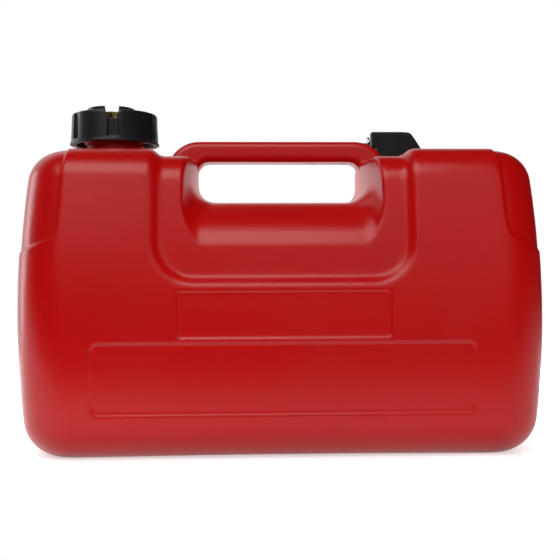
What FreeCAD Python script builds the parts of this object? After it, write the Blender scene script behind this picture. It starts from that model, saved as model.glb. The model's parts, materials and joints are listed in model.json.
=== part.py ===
"""Portable outboard fuel tank: shell, filler cap with vent screw, and pickup with level gauge.

Millimetres. +X runs along the tank towards the pickup, +Y to the back, +Z up.
The origin is the middle of the base, on the surface that the tank stands on.
"""
import FreeCAD
import Part
import math
import os

from FreeCAD import Vector

# Tank shell
LENGTH = 396.0
DEPTH = 190.0
HEIGHT = 230.0
WALL = 3.0
WIDEST_Z = 104.0            # height at which the ends and faces bulge out most
END_BULGE_R = 950.0
FACE_BULGE_R = 700.0
PLAN_CORNER_R = 40.0
TOP_EDGE_R = 27.0
BASE_EDGE_R = 30.0
FOOT_LENGTH = 48.0          # the base is arched between a foot at each end
BASE_ARCH_RISE = 1.8
FOOT_TRIM = 0.4             # the feet are cut flat this far up the rounded base

# Sunk middle of the shell, which carries the handle
STEP_DROP = 5.5
END_LENGTH = 106.5          # each end beside the sunk middle
STEP_HEIGHT = 97.0          # from the top of the shell to the foot of the sunk middle
STEP_CORNER_R = 26.0
STEP_SLOPE = 4.9
STEP_ROUND_R = 8.0

# Hand space under the handle
HAND_INSET = 26.6           # from the edge of the sunk middle
HAND_WALL_R = 400.0         # the side walls bulge towards each other, most at the handle
HAND_FLOOR_DROP = 39.5      # floor below the top of the shell
HAND_ROLL_FOOT = 11.5       # the floor rolls down to this far above the foot of the sunk middle
HAND_ROLL_REACH = 0.7       # and runs out this far past the face
HAND_EDGE_R = 3.0
HAND_FOOT_R = 18.0

# Handle
HANDLE_X = -1.4
HANDLE_INSET = 3.0          # from the edge of the sunk middle
HANDLE_RISE = 12.3          # above the top of the shell
HANDLE_THICK = 16.7
HANDLE_DEPTH = 26.0
HANDLE_OUTER_R = 26.0
HANDLE_INNER_R = 9.0
HANDLE_EDGE_R = 5.0

# Panels sunk in the faces
PANEL_DEPTH = 1.3
LABEL_INSET = 58.0          # from each end of the tank
LABEL_LOW_Z = 33.5
LABEL_HIGH_Z = 86.3
LABEL_CORNER_R = 6.0
STRIP_HALF = 78.0
STRIP_LOW_Z = 89.0
STRIP_HIGH_Z = 123.7
STRIP_CORNER_R = 3.5
SHOULDER_TOP_INSET = 40.0   # edge of a sunk shoulder, from the end at the top of the shell
SHOULDER_LOW_INSET = 34.0   # down to its bend
SHOULDER_LOW_DROP = 67.0
SHOULDER_END_DROP = 80.0    # and out to the end
SHOULDER_CORNER_R = 14.0

# Filler neck and cap
NECK_INSET = 66.0           # from the left end of the tank
NECK_R = 22.5
NECK_BORE_R = 19.0
NECK_HEIGHT = 21.5
NECK_ROOT_R = 2.5
GASKET_THICK = 1.5
LINER_THICK = 1.0
LINER_CLEAR = 0.5
CAP_THREAD_CLEAR = 0.4
CAP_RING_LENGTH = 11.0
CAP_RING_WALL = 2.6
CAP_RIM_RISE = 9.8          # above the top of the shell
CAP_RIM_R = 35.6
CAP_SKIRT_R = 34.8
CAP_TOP_R = 33.9
CAP_SKIRT_WALL = 4.0
CAP_BEAD = 1.8
CAP_DECK_DROP = 2.2         # the deck inside the top rim lies this much lower
CAP_HEIGHT = 24.9
CAP_DECK_WALL = 3.0
CAP_EDGE_R = 2.4
CAP_RIM_WIDTH = 4.5
CAP_LOBES = 6
CAP_FLUTE_WIDTH = 8.6
CAP_FLUTE_DEPTH = 2.0
CAP_RIBS = 12
CAP_RIB_THICK = 1.4
CAP_BOSS_R = 19.0
CAP_BOSS_RISE = 4.8
CAP_BOSS_EDGE_R = 1.2
CAP_SLOT_WIDTH = 10.8
CAP_CROWN = 3.6             # thickness under the slot
CAP_TURN = 9.0              # degrees that the tightened cap stands turned

# Vent screw in the cap
VENT_OFFSET = -2.8
VENT_HEAD_R = 8.0
VENT_HEAD_HEIGHT = 7.0
VENT_STEM_R = 2.5
VENT_STEM_LENGTH = 10.5
VENT_POCKET_CLEAR = 0.8
VENT_FLUTES = 20
VENT_FLUTE_R = 0.6
VENT_SEAL_R = 5.0
VENT_SEAL_THICK = 2.0
VENT_BUSH_R = 4.2
VENT_BUSH_DROP = 6.0
VENT_BOSS_WALL = 2.6
VENT_RUN = 0.05

# Pickup flange on its seat
PICKUP_INSET = 25.5         # from the hand space to the pickup's middle
PICKUP_BEHIND = 29.5        # from the back of the handle
FLANGE_WIDTH = 35.0
FLANGE_LENGTH = 50.0
FLANGE_THICK = 4.0
FLANGE_CORNER_R = 7.0
FLANGE_GASKET = 1.5
SEAT_DROP = 5.0             # seat below the top of the shell
SEAT_BLOCK = 15.0
SEAT_MARGIN = 1.0
HOLE_R = 11.0
SCREW_INSET = 4.3
SCREW_R = 1.95
SCREW_LENGTH = 14.0
SCREW_HEAD_R = 3.5
SCREW_HEAD_HEIGHT = 2.4
SCREW_CLEAR = 0.15
INSERT_R = 3.2
INSERT_LENGTH = 10.0
FIT_GAP = 0.05

# Gauge below and above the flange
SPINDLE_FORWARD = 6.5       # from the pickup's middle to the front
SPINDLE_R = 2.5
SPINDLE_FOOT_R = 2.0
SPINDLE_RUN = 0.04
STRIP_WIDTH = 6.0
STRIP_THICK = 1.2
STRIP_TWIST = 56.0          # degrees over the float's whole travel
SPIGOT_R = 8.4
SPIGOT_LENGTH = 7.0
GUIDE_R = 10.0
GUIDE_BORE_R = 8.5
GUIDE_LOW_Z = 13.0
GUIDE_SLOT = 3.4
FOOT_THICK = 4.0
FLOAT_R = 8.0
FLOAT_BORE_R = 4.0
FLOAT_HEIGHT = 30.0
FLOAT_STOP_GAP = 6.5        # left above the risen float
FLOAT_PLATE = 2.0
FLOAT_KEY_WIDTH = 2.8
FLOAT_KEY_REACH = 9.6
FLOAT_CLEAR = 0.3
CLIP_R = 4.6
CLIP_THICK = 1.0
DIAL_R = 17.4
DIAL_SHELL = 1.5
DIAL_HEIGHT = 8.0
DIAL_HALF_ANGLE = 30.0
DIAL_RISE = 10.0            # above the flange
DIAL_HUB_R = 4.2
DIAL_WEB = 1.6

# Pickup tube and outlet
TUBE_BACKWARD = 9.5         # from the pickup's middle to the back
TUBE_R = 4.0
TUBE_BORE_R = 3.0
TUBE_LOW_Z = 14.0
TUBE_SOCKET = 9.5
SOCKET_R = 5.4
STRAINER_R = 5.2
STRAINER_LOW_Z = 7.0
STRAINER_HEIGHT = 24.0
STRAINER_WALL = 0.9
STRAINER_SLOTS = 6
TOWER_R = 5.2
TOWER_HEIGHT = 20.0
DUCT_R = 2.4
OUTLET_RISE = 14.5          # above the flange
OUTLET_PLATE_INSET = 11.4   # from the pickup's middle to the outer face of the connector's plate
OUTLET_PLATE_THICK = 1.5
OUTLET_PLATE_R = 6.0
OUTLET_PLATE_HEIGHT = 24.0
OUTLET_PLATE_LIFT = 0.1     # above the flange
OUTLET_STEM_R = 4.0
OUTLET_STEM_LENGTH = 8.5
NIPPLE_R = 4.5
NIPPLE_LENGTH = 21.5
NIPPLE_NOSE = 2.0
NIPPLE_GROOVE_R = 3.7
NIPPLE_GROOVE_FROM = 8.0
NIPPLE_GROOVE_WIDTH = 3.0
NIPPLE_BORE_R = 2.6
NIPPLE_TIP = 3.0
NIPPLE_TIP_BORE_R = 1.5
KEY_PIN_R = 2.0
KEY_PIN_LENGTH = 14.0
KEY_PIN_DROP = 9.0
SEAL_WIDTH = 1.8
POPPET_R = 2.3
POPPET_LENGTH = 2.4
POPPET_STEM_R = 1.2
POPPET_GAP = 0.2
SPRING_WIRE = 0.5
SPRING_TURNS = 5
SPRING_SEAT_THICK = 2.0

# Hood over the gauge
HOOD_HEIGHT = 24.0          # heights are above the flange, lengths from the pickup's middle
HOOD_UNDER_RISE = 6.0
HOOD_CHEEK_RISE = 10.5      # the left end steps in below this height
HOOD_LEFT = 12.0
HOOD_FLAT_RIGHT = 21.0      # right end of the flat top
HOOD_RIGHT = 32.5           # foot of the sloping end
HOOD_NECK_LEFT = 7.5        # left face of the neck and floor of the connector's niche
HOOD_NECK_RIGHT = 8.8
HOOD_HALF_WIDTH = 24.0
HOOD_WALL = 2.0
HOOD_EDGE_R = 1.2
HOOD_NICHE_FORWARD = 13.5   # front of the niche, from the pickup's middle
HOOD_BOSS_R = 3.9
HOOD_BOSS_DROP = 2.0
POST_R = 3.0
POST_STEPS = ((-2.0, -18.3), (0.0, 18.8))   # from the pickup's middle
HOOD_SCREW_R = 1.5
HOOD_SCREW_LENGTH = 14.0
HOOD_SCREW_HEAD_R = 2.8
HOOD_SCREW_HEAD = 1.9
WINDOW_WIDTH = 24.0
WINDOW_HEIGHT = 12.0
WINDOW_CORNER_R = 2.5
LENS_LAND = 1.4
LENS_THICK = 1.2
LENS_CLEAR = 0.1

# Heights and places that follow from the sizes above
STEP_HALF = LENGTH / 2 - END_LENGTH
STEP_BOTTOM_Z = HEIGHT - STEP_HEIGHT
LEDGE_Z = HEIGHT - STEP_DROP
HAND_HALF = STEP_HALF - HAND_INSET
HAND_FLOOR_Z = HEIGHT - HAND_FLOOR_DROP
HAND_FLOOR_R = STEP_HEIGHT - HAND_FLOOR_DROP - HAND_ROLL_FOOT
HAND_FACE_LEAN = (HAND_FLOOR_Z - HAND_FLOOR_R - WIDEST_Z) ** 2 / (2 * FACE_BULGE_R)
HAND_FLOOR_FLAT = DEPTH / 2 - STEP_DROP - HAND_FACE_LEAN + HAND_ROLL_REACH - HAND_FLOOR_R
HANDLE_HALF = STEP_HALF - HANDLE_INSET
HANDLE_TOP_Z = HEIGHT + HANDLE_RISE
HANDLE_LOW_Z = HANDLE_TOP_Z - HANDLE_THICK
LABEL_HALF = LENGTH / 2 - LABEL_INSET
SHOULDER_TOP_X = LENGTH / 2 - SHOULDER_TOP_INSET
SHOULDER_LOW_X = LENGTH / 2 - SHOULDER_LOW_INSET
SHOULDER_LOW_Z = HEIGHT - SHOULDER_LOW_DROP
SHOULDER_END_Z = HEIGHT - SHOULDER_END_DROP
NECK_X = NECK_INSET - LENGTH / 2
NECK_TOP_Z = HEIGHT + NECK_HEIGHT
GASKET_TOP_Z = NECK_TOP_Z + GASKET_THICK
CROWN_Z = GASKET_TOP_Z + LINER_THICK
SLOT_FLOOR_Z = CROWN_Z + CAP_CROWN
CAP_RIM_Z = HEIGHT + CAP_RIM_RISE
CAP_TOP_Z = CAP_RIM_Z + CAP_HEIGHT
CAP_DECK_Z = CAP_TOP_Z - CAP_DECK_DROP
BOSS_TOP_Z = CAP_TOP_Z + CAP_BOSS_RISE
CAP_RING_R = NECK_R + CAP_THREAD_CLEAR
VENT_HEAD_Z = SLOT_FLOOR_Z + VENT_SEAL_THICK
PICKUP_X = HAND_HALF + PICKUP_INSET
PICKUP_Y = HANDLE_DEPTH / 2 + PICKUP_BEHIND
SPINDLE_Y = PICKUP_Y - SPINDLE_FORWARD
TUBE_Y = PICKUP_Y + TUBE_BACKWARD
SEAT_Z = HEIGHT - SEAT_DROP
FLANGE_Z = SEAT_Z + FLANGE_GASKET
FLANGE_TOP_Z = FLANGE_Z + FLANGE_THICK
SPIGOT_Z = FLANGE_Z - SPIGOT_LENGTH
DIAL_LOW_Z = FLANGE_TOP_Z + DIAL_RISE
TOWER_TOP_Z = FLANGE_TOP_Z + TOWER_HEIGHT
OUTLET_Z = FLANGE_TOP_Z + OUTLET_RISE
OUTLET_PLATE_X = PICKUP_X - OUTLET_PLATE_INSET
HOLE_END_Y = TUBE_Y + STRAINER_R + 0.3 - HOLE_R
SCREW_PLACES = [(PICKUP_X + i * (FLANGE_WIDTH / 2 - SCREW_INSET),
                 PICKUP_Y + j * (FLANGE_LENGTH / 2 - SCREW_INSET))
                for i in (-1, 1) for j in (-1, 1)]
FLOAT_LOW_Z = GUIDE_LOW_Z + FOOT_THICK + 1.0
FLOAT_TRAVEL = SPIGOT_Z - FLOAT_STOP_GAP - FLOAT_HEIGHT - FLOAT_LOW_Z
HOOD_TOP_Z = FLANGE_TOP_Z + HOOD_HEIGHT
HOOD_UNDER_Z = FLANGE_TOP_Z + HOOD_UNDER_RISE
HOOD_CHEEK_Z = FLANGE_TOP_Z + HOOD_CHEEK_RISE
HOOD_LEFT_X = PICKUP_X - HOOD_LEFT
HOOD_FLAT_X = PICKUP_X + HOOD_FLAT_RIGHT
HOOD_RIGHT_X = PICKUP_X + HOOD_RIGHT
HOOD_NECK_RIGHT_X = PICKUP_X + HOOD_NECK_RIGHT
HOOD_NICHE_X = PICKUP_X - HOOD_NECK_LEFT
HOOD_FRONT_Y = PICKUP_Y - HOOD_HALF_WIDTH
HOOD_BACK_Y = PICKUP_Y + HOOD_HALF_WIDTH
HOOD_NICHE_Y = PICKUP_Y - HOOD_NICHE_FORWARD
POST_PLACES = [(PICKUP_X + x, PICKUP_Y + y) for x, y in POST_STEPS]
SLOPE = math.atan2(HOOD_TOP_Z - HOOD_UNDER_Z, HOOD_RIGHT_X - HOOD_FLAT_X)
FAR = LENGTH + DEPTH + HEIGHT


def face_of(points):
    """Flat face inside straight lines through the points."""
    return Part.Face(Part.makePolygon(points + [points[0]]))


def prism_y(outline, y_low, y_high):
    """Outline given as (x, z) points, run along Y."""
    face = face_of([Vector(x, y_low, z) for x, z in outline])
    return face.extrude(Vector(0, y_high - y_low, 0))


def turned(profile, x, y):
    """Outline of (radius, z) points turned about the upright line through x, y."""
    face = face_of([Vector(r, 0, z) for r, z in profile])
    solid = face.revolve(Vector(0, 0, 0), Vector(0, 0, 1), 360)
    solid.translate(Vector(x, y, 0))
    return solid


def turned_x(profile, y, z):
    """Outline of (x, radius) points turned about the line along X through y, z."""
    face = face_of([Vector(x, 0, r) for x, r in profile])
    solid = face.revolve(Vector(0, 0, 0), Vector(1, 0, 0), 360)
    solid.translate(Vector(0, y, z))
    return solid


def post(radius, x, y, z_low, z_high):
    """Upright cylinder."""
    return Part.makeCylinder(radius, z_high - z_low, Vector(x, y, z_low))


def rod_x(radius, y, z, x_low, x_high):
    """Cylinder along X."""
    return Part.makeCylinder(radius, x_high - x_low, Vector(x_low, y, z), Vector(1, 0, 0))


def block(x_low, x_high, y_low, y_high, z_low, z_high):
    """Box between two corners."""
    return Part.makeBox(x_high - x_low, y_high - y_low, z_high - z_low, Vector(x_low, y_low, z_low))


def rounded_plate(x, y, width, length, corner_r, z_low, z_high):
    """Upright plate with four rounded corners."""
    plate = block(x - width / 2, x + width / 2, y - length / 2, y + length / 2, z_low, z_high)
    return plate.makeFillet(corner_r, edges_along(plate, Vector(0, 0, 1)))


def stadium(x, y_from, y_to, radius, z_low, z_high):
    """Upright slot shape between two round ends."""
    body = block(x - radius, x + radius, y_from, y_to, z_low, z_high)
    return body.fuse([post(radius, x, y_from, z_low, z_high), post(radius, x, y_to, z_low, z_high)])


def edges_along(solid, direction):
    """Straight edges that run along the direction."""
    found = []
    for edge in solid.Edges:
        if isinstance(edge.Curve, Part.Line) and abs(edge.Curve.Direction.dot(direction)) > 0.999:
            found.append(edge)
    return found


def middle(edge):
    """Point halfway along an edge."""
    return edge.valueAt(0.5 * (edge.FirstParameter + edge.LastParameter))


def flat_edges(solid, z, tolerance=0.01):
    """Edges that lie wholly at one height."""
    return [edge for edge in solid.Edges
            if all(abs(p.z - z) < tolerance for p in edge.discretize(3))]


def one_solid(shape):
    """The single solid that a boolean leaves, with split faces joined again."""
    return shape.removeSplitter().Solids[0]


def bulged_face(half, radius, z_low, z_high, place):
    """Face with a flat top and base and two sides that bulge at the widest height."""
    def side(z):
        return half - radius + math.sqrt(radius ** 2 - (z - WIDEST_Z) ** 2)
    z_mid = 0.5 * (z_low + z_high)
    right = [place(side(z), z) for z in (z_low, z_mid, z_high)]
    left = [place(-side(z), z) for z in (z_high, z_mid, z_low)]
    edges = [Part.Arc(*right).toShape(), Part.LineSegment(right[2], left[0]).toShape(),
             Part.Arc(*left).toShape(), Part.LineSegment(left[2], right[0]).toShape()]
    return Part.Face(Part.Wire(edges))


def tank_form(inset):
    """Rounded, bulged body of the tank, smaller all round by the inset."""
    low = inset - FOOT_TRIM
    high = HEIGHT - inset
    front = bulged_face(LENGTH / 2 - inset, END_BULGE_R - inset, low, high,
                        lambda x, z: Vector(x, -DEPTH, z))
    side = bulged_face(DEPTH / 2 - inset, FACE_BULGE_R - inset, low, high,
                       lambda y, z: Vector(-LENGTH, y, z))
    form = front.extrude(Vector(0, 2 * DEPTH, 0)).common(side.extrude(Vector(2 * LENGTH, 0, 0)))
    upright = [edge for edge in form.Edges
               if abs(edge.Vertexes[0].Z - edge.Vertexes[-1].Z) > HEIGHT / 2]
    form = form.makeFillet(PLAN_CORNER_R - inset, upright)
    form = form.makeFillet(TOP_EDGE_R - inset / 2, flat_edges(form, high))
    return form.makeFillet(BASE_EDGE_R - inset / 2, flat_edges(form, low))


def step_cutter(growth):
    """Upright channel through both faces, in which the middle of the shell is sunk."""
    half = STEP_HALF + growth
    bottom = STEP_BOTTOM_Z - growth
    channel = block(-half, half, -DEPTH, DEPTH, bottom, HEIGHT + STEP_HALF)
    lower = [edge for edge in edges_along(channel, Vector(0, 1, 0)) if middle(edge).z < HEIGHT]
    return channel.makeFillet(STEP_CORNER_R + growth, lower)


def beside_step(point):
    """How far a point lies outside the channel's outline, seen from the front."""
    x = abs(point.x)
    corner_x = STEP_HALF - STEP_CORNER_R
    corner_z = STEP_BOTTOM_Z + STEP_CORNER_R
    if point.z > corner_z:
        return x - STEP_HALF
    if x < corner_x:
        return STEP_BOTTOM_Z - point.z
    return math.hypot(x - corner_x, point.z - corner_z) - STEP_CORNER_R


def edges_on(solid, skin, near, far):
    """Edges on a skin whose middle lies between two distances outside the channel."""
    found = []
    for edge in solid.Edges:
        point = middle(edge)
        if near < beside_step(point) < far and skin.distToShape(Part.Vertex(point))[0] < 0.03:
            found.append(edge)
    return found


def stepped_form():
    """Outer form with its middle sunk and the step between them sloped and rounded."""
    outer = tank_form(0)
    core = tank_form(STEP_DROP)
    channel = step_cutter(0)
    form = one_solid(outer.cut(channel).fuse(core.common(channel)))
    skin = Part.Shell(outer.Faces)
    form = form.makeChamfer(STEP_SLOPE, edges_on(form, skin, -0.1, 0.1))
    return form.makeFillet(STEP_ROUND_R, edges_on(form, skin, STEP_SLOPE / 2, 2 * STEP_SLOPE))


def hand_space(growth):
    """Space under the handle: two bulged walls and a floor that rolls over to both faces."""
    radius = HAND_FLOOR_R - growth
    top = HAND_FLOOR_Z - growth
    bend_z = HAND_FLOOR_Z - HAND_FLOOR_R
    flat = HAND_FLOOR_FLAT
    diagonal = math.sqrt(0.5)
    points = [Vector(0, -DEPTH, bend_z), Vector(0, -flat - radius, bend_z), Vector(0, -flat, top),
              Vector(0, flat, top), Vector(0, flat + radius, bend_z), Vector(0, DEPTH, bend_z),
              Vector(0, DEPTH, FAR), Vector(0, -DEPTH, FAR)]
    front_bend = Vector(0, -flat - radius * diagonal, bend_z + (top - bend_z) * diagonal)
    back_bend = Vector(0, flat + radius * diagonal, bend_z + (top - bend_z) * diagonal)
    edges = [Part.LineSegment(points[0], points[1]).toShape(),
             Part.Arc(points[1], front_bend, points[2]).toShape(),
             Part.LineSegment(points[2], points[3]).toShape(),
             Part.Arc(points[3], back_bend, points[4]).toShape(),
             Part.LineSegment(points[4], points[5]).toShape(),
             Part.LineSegment(points[5], points[6]).toShape(),
             Part.LineSegment(points[6], points[7]).toShape(),
             Part.LineSegment(points[7], points[0]).toShape()]
    space = Part.Face(Part.Wire(edges)).extrude(Vector(2 * STEP_HALF, 0, 0))
    space.translate(Vector(-STEP_HALF, 0, 0))
    wall_x = HAND_HALF + HAND_WALL_R
    walls = [post(HAND_WALL_R - growth, side * wall_x, 0, 0, FAR) for side in (-1, 1)]
    return space.cut(walls)


def wall_edges(form, keep):
    """Edges in the two walls of the hand space that the test keeps."""
    wall_x = HAND_HALF + HAND_WALL_R
    return [edge for edge in form.Edges
            if all(abs(math.hypot(wall_x - abs(p.x), p.y) - HAND_WALL_R) < 0.01 for p in edge.discretize(5))
            and keep(middle(edge))]


def on_hand_floor(point):
    """Whether a point lies on the floor of the hand space."""
    bend = math.hypot(abs(point.y) - HAND_FLOOR_FLAT, point.z - HAND_FLOOR_Z + HAND_FLOOR_R)
    return abs(point.z - HAND_FLOOR_Z) < 0.01 or abs(bend - HAND_FLOOR_R) < 0.01


def add_hand_space(form):
    """Cut the hand space, round the foot of its walls and then their rims."""
    form = one_solid(form.cut(hand_space(0)))
    form = form.makeFillet(HAND_FOOT_R, wall_edges(form, on_hand_floor))
    return form.makeFillet(HAND_EDGE_R, wall_edges(form, lambda p: p.z > HAND_FLOOR_Z + HAND_FOOT_R))


def handle_bar():
    """Handle as an arch: a bar with two legs that run down into the ledge."""
    x_low = HANDLE_X - HANDLE_HALF
    x_high = HANDLE_X + HANDLE_HALF
    half_depth = HANDLE_DEPTH / 2
    root = LEDGE_Z - HANDLE_OUTER_R
    arch = block(x_low, x_high, -half_depth, half_depth, root, HANDLE_TOP_Z)
    across = edges_along(arch, Vector(0, 1, 0))
    arch = arch.makeFillet(HANDLE_OUTER_R, [e for e in across if middle(e).z > LEDGE_Z])
    space = hand_space(0).common(block(-FAR, FAR, -DEPTH, DEPTH, HAND_FLOOR_Z, HANDLE_LOW_Z))
    space = space.makeFillet(HANDLE_INNER_R, wall_edges(space, lambda p: p.z > HANDLE_LOW_Z - 0.01))
    arch = arch.cut(space)
    long_edges = [edge for edge in arch.Edges
                  if all(abs(abs(p.y) - half_depth) < 0.01 for p in edge.discretize(3))
                  and middle(edge).z > root + 0.1]
    return arch.makeFillet(HANDLE_EDGE_R, long_edges)


def sunk(cutter, depth):
    """Part of a cutter that lies within a depth of the tank's outer form."""
    return cutter.cut(tank_form(depth))


def panel(half, z_low, z_high, corner_r, y_low, y_high):
    """Cutter of a sunk panel with rounded corners."""
    plate = block(-half, half, y_low, y_high, z_low, z_high)
    return plate.makeFillet(corner_r, edges_along(plate, Vector(0, 1, 0)))


def shoulder(side):
    """Cutter of the sunk shoulder at one end of the tank."""
    outline = [(SHOULDER_TOP_X, HEIGHT + WALL), (SHOULDER_LOW_X, SHOULDER_LOW_Z),
               (LENGTH / 2 + WALL, SHOULDER_END_Z), (LENGTH / 2 + WALL, HEIGHT + WALL)]
    cutter = prism_y([(side * x, z) for x, z in outline], -DEPTH, DEPTH)
    bend = [edge for edge in edges_along(cutter, Vector(0, 1, 0))
            if abs(abs(middle(edge).x) - SHOULDER_LOW_X) < 0.01]
    return cutter.makeFillet(SHOULDER_CORNER_R, bend)


def under_base():
    """Space under the tank: flat under a foot at each end, and arched between them."""
    half = LENGTH / 2 - FOOT_LENGTH
    ends = (Vector(-half, -DEPTH, 0), Vector(half, -DEPTH, 0))
    arc = Part.Arc(ends[0], Vector(0, -DEPTH, BASE_ARCH_RISE), ends[1]).toShape()
    outline = Part.makePolygon([ends[1], Vector(LENGTH, -DEPTH, 0), Vector(LENGTH, -DEPTH, -WALL),
                                Vector(-LENGTH, -DEPTH, -WALL), Vector(-LENGTH, -DEPTH, 0), ends[0]])
    return Part.Face(Part.Wire([arc] + outline.Edges)).extrude(Vector(0, 2 * DEPTH, 0))


def seat_outline(z_low, z_high):
    """Upright block under the pickup flange."""
    return rounded_plate(PICKUP_X, PICKUP_Y, FLANGE_WIDTH + 2 * SEAT_MARGIN,
                         FLANGE_LENGTH + 2 * SEAT_MARGIN, FLANGE_CORNER_R + SEAT_MARGIN, z_low, z_high)


def pickup_hole(z_low, z_high):
    """Hole through which the pickup goes into the tank."""
    return stadium(PICKUP_X, SPINDLE_Y, HOLE_END_Y, HOLE_R, z_low, z_high)


def cavity():
    """Space inside the walls."""
    space = tank_form(WALL).cut(step_cutter(WALL + STEP_SLOPE))
    space = space.fuse(tank_form(WALL + STEP_DROP))
    space = space.cut(hand_space(WALL))
    floor = block(-LENGTH, LENGTH, -DEPTH, DEPTH, -HEIGHT, WALL + BASE_ARCH_RISE)
    return space.cut(floor).cut(seat_outline(SEAT_Z - SEAT_BLOCK, SEAT_Z))


def add_neck(form):
    """Add the filler neck and round its root."""
    form = form.fuse(post(NECK_R, NECK_X, 0, HEIGHT - WALL, NECK_TOP_Z))
    root = [edge for edge in flat_edges(form, HEIGHT)
            if abs(middle(edge).distanceToPoint(Vector(NECK_X, 0, HEIGHT)) - NECK_R) < 0.01]
    return form.makeFillet(NECK_ROOT_R, root)


def tank_shell():
    """Blow-moulded shell with its handle, neck, panels, feet and pickup seat."""
    form = one_solid(add_hand_space(stepped_form()).fuse(handle_bar()))
    form = form.fuse(seat_outline(SEAT_Z - SEAT_BLOCK, SEAT_Z)).cut(seat_outline(SEAT_Z, HEIGHT + WALL))
    form = add_neck(one_solid(form))
    cutters = [shoulder(-1), shoulder(1),
               panel(LABEL_HALF, LABEL_LOW_Z, LABEL_HIGH_Z, LABEL_CORNER_R, -DEPTH, 0),
               panel(LABEL_HALF, LABEL_LOW_Z, LABEL_HIGH_Z, LABEL_CORNER_R, 0, DEPTH),
               panel(STRIP_HALF, STRIP_LOW_Z, STRIP_HIGH_Z, STRIP_CORNER_R, -DEPTH, 0)]
    form = form.cut([sunk(cutter, PANEL_DEPTH) for cutter in cutters] + [under_base()])
    form = form.cut([cavity(), pickup_hole(SEAT_Z - 2 * SEAT_BLOCK, SEAT_Z + WALL),
                     post(NECK_BORE_R, NECK_X, 0, HEIGHT - 2 * WALL, NECK_TOP_Z + WALL)])
    pockets = [post(INSERT_R + FIT_GAP, x, y, SEAT_Z - INSERT_LENGTH - WALL, SEAT_Z + WALL)
               for x, y in SCREW_PLACES]
    return one_solid(form.cut(pockets))


def flange_inserts():
    """Brass inserts in the seat, which take the flange screws."""
    bush = []
    for x, y in SCREW_PLACES:
        sleeve = post(INSERT_R, x, y, SEAT_Z - INSERT_LENGTH, SEAT_Z)
        bush.append(sleeve.cut(post(SCREW_R + FIT_GAP, x, y, SEAT_Z - 2 * INSERT_LENGTH, SEAT_Z + WALL)))
    return Part.makeCompound(bush)


def cap_gasket():
    """Rubber ring on the rim of the neck."""
    ring = post(NECK_R, NECK_X, 0, NECK_TOP_Z, GASKET_TOP_Z)
    return ring.cut(post(NECK_BORE_R, NECK_X, 0, NECK_TOP_Z - 1, GASKET_TOP_Z + 1))


def cap_liner():
    """Slip disc between the gasket and the cap, which rises without turning."""
    disc = post(CAP_RING_R - LINER_CLEAR, NECK_X, 0, GASKET_TOP_Z, CROWN_Z)
    hole = post(VENT_BUSH_R + VENT_BOSS_WALL - VENT_OFFSET + LINER_CLEAR, NECK_X, 0,
                GASKET_TOP_Z - 1, CROWN_Z + 1)
    return disc.cut(hole)


def cap_body():
    """Skirt, deck and threaded ring of the cap, turned about its own axis."""
    inner_r = CAP_SKIRT_R - CAP_SKIRT_WALL
    ring_out = CAP_RING_R + CAP_RING_WALL
    profile = [(CAP_RIM_R, CAP_RIM_Z), (CAP_RIM_R, CAP_RIM_Z + CAP_BEAD),
               (CAP_SKIRT_R, CAP_RIM_Z + CAP_BEAD), (CAP_TOP_R, CAP_TOP_Z),
               (CAP_TOP_R - CAP_RIM_WIDTH, CAP_TOP_Z),
               (CAP_TOP_R - CAP_RIM_WIDTH - CAP_DECK_DROP, CAP_DECK_Z), (0, CAP_DECK_Z),
               (0, CROWN_Z), (CAP_RING_R, CROWN_Z), (CAP_RING_R, CROWN_Z - CAP_RING_LENGTH),
               (ring_out, CROWN_Z - CAP_RING_LENGTH), (ring_out, CAP_DECK_Z - CAP_DECK_WALL),
               (CAP_TOP_R - CAP_SKIRT_WALL, CAP_DECK_Z - CAP_DECK_WALL), (inner_r, CAP_RIM_Z)]
    body = turned(profile, 0, 0)
    top_edge = [edge for edge in flat_edges(body, CAP_TOP_Z) if edge.BoundBox.XMax > CAP_TOP_R - 0.1]
    return body.makeFillet(CAP_EDGE_R, top_edge)


def cap_flute():
    """Cutter of one grip flute at the front of the cap."""
    flute = block(-CAP_FLUTE_WIDTH / 2, CAP_FLUTE_WIDTH / 2, -2 * CAP_RIM_R,
                  -CAP_TOP_R + CAP_FLUTE_DEPTH, CAP_RIM_Z + 2 * CAP_BEAD, CAP_TOP_Z + WALL)
    corners = [edge for edge in edges_along(flute, Vector(0, 0, 1))
               if middle(edge).y > -CAP_RIM_R]
    return flute.makeFillet(CAP_FLUTE_DEPTH / 2, corners)


def cap_rib():
    """Rib between the threaded ring and the skirt, under the deck."""
    reach = CAP_SKIRT_R - CAP_SKIRT_WALL + 0.2
    start = CAP_RING_R + CAP_RING_WALL - 0.2
    return block(-CAP_RIB_THICK / 2, CAP_RIB_THICK / 2, -reach, -start,
                 CROWN_Z - CAP_RING_LENGTH + CAP_BEAD, CAP_DECK_Z - CAP_DECK_WALL + 0.2)


def set_cap(shape):
    """Move a piece modelled about the cap's own axis to its place on the neck."""
    shape.rotate(Vector(0, 0, 0), Vector(0, 0, 1), CAP_TURN)
    shape.translate(Vector(NECK_X, 0, 0))
    return shape


def around_cap(shape, count, phase):
    """Copies of a shape at even steps around the cap's axis."""
    copies = []
    for i in range(count):
        copy = shape.copy()
        copy.rotate(Vector(0, 0, 0), Vector(0, 0, 1), phase + i * 360 / count)
        copies.append(copy)
    return copies


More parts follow.
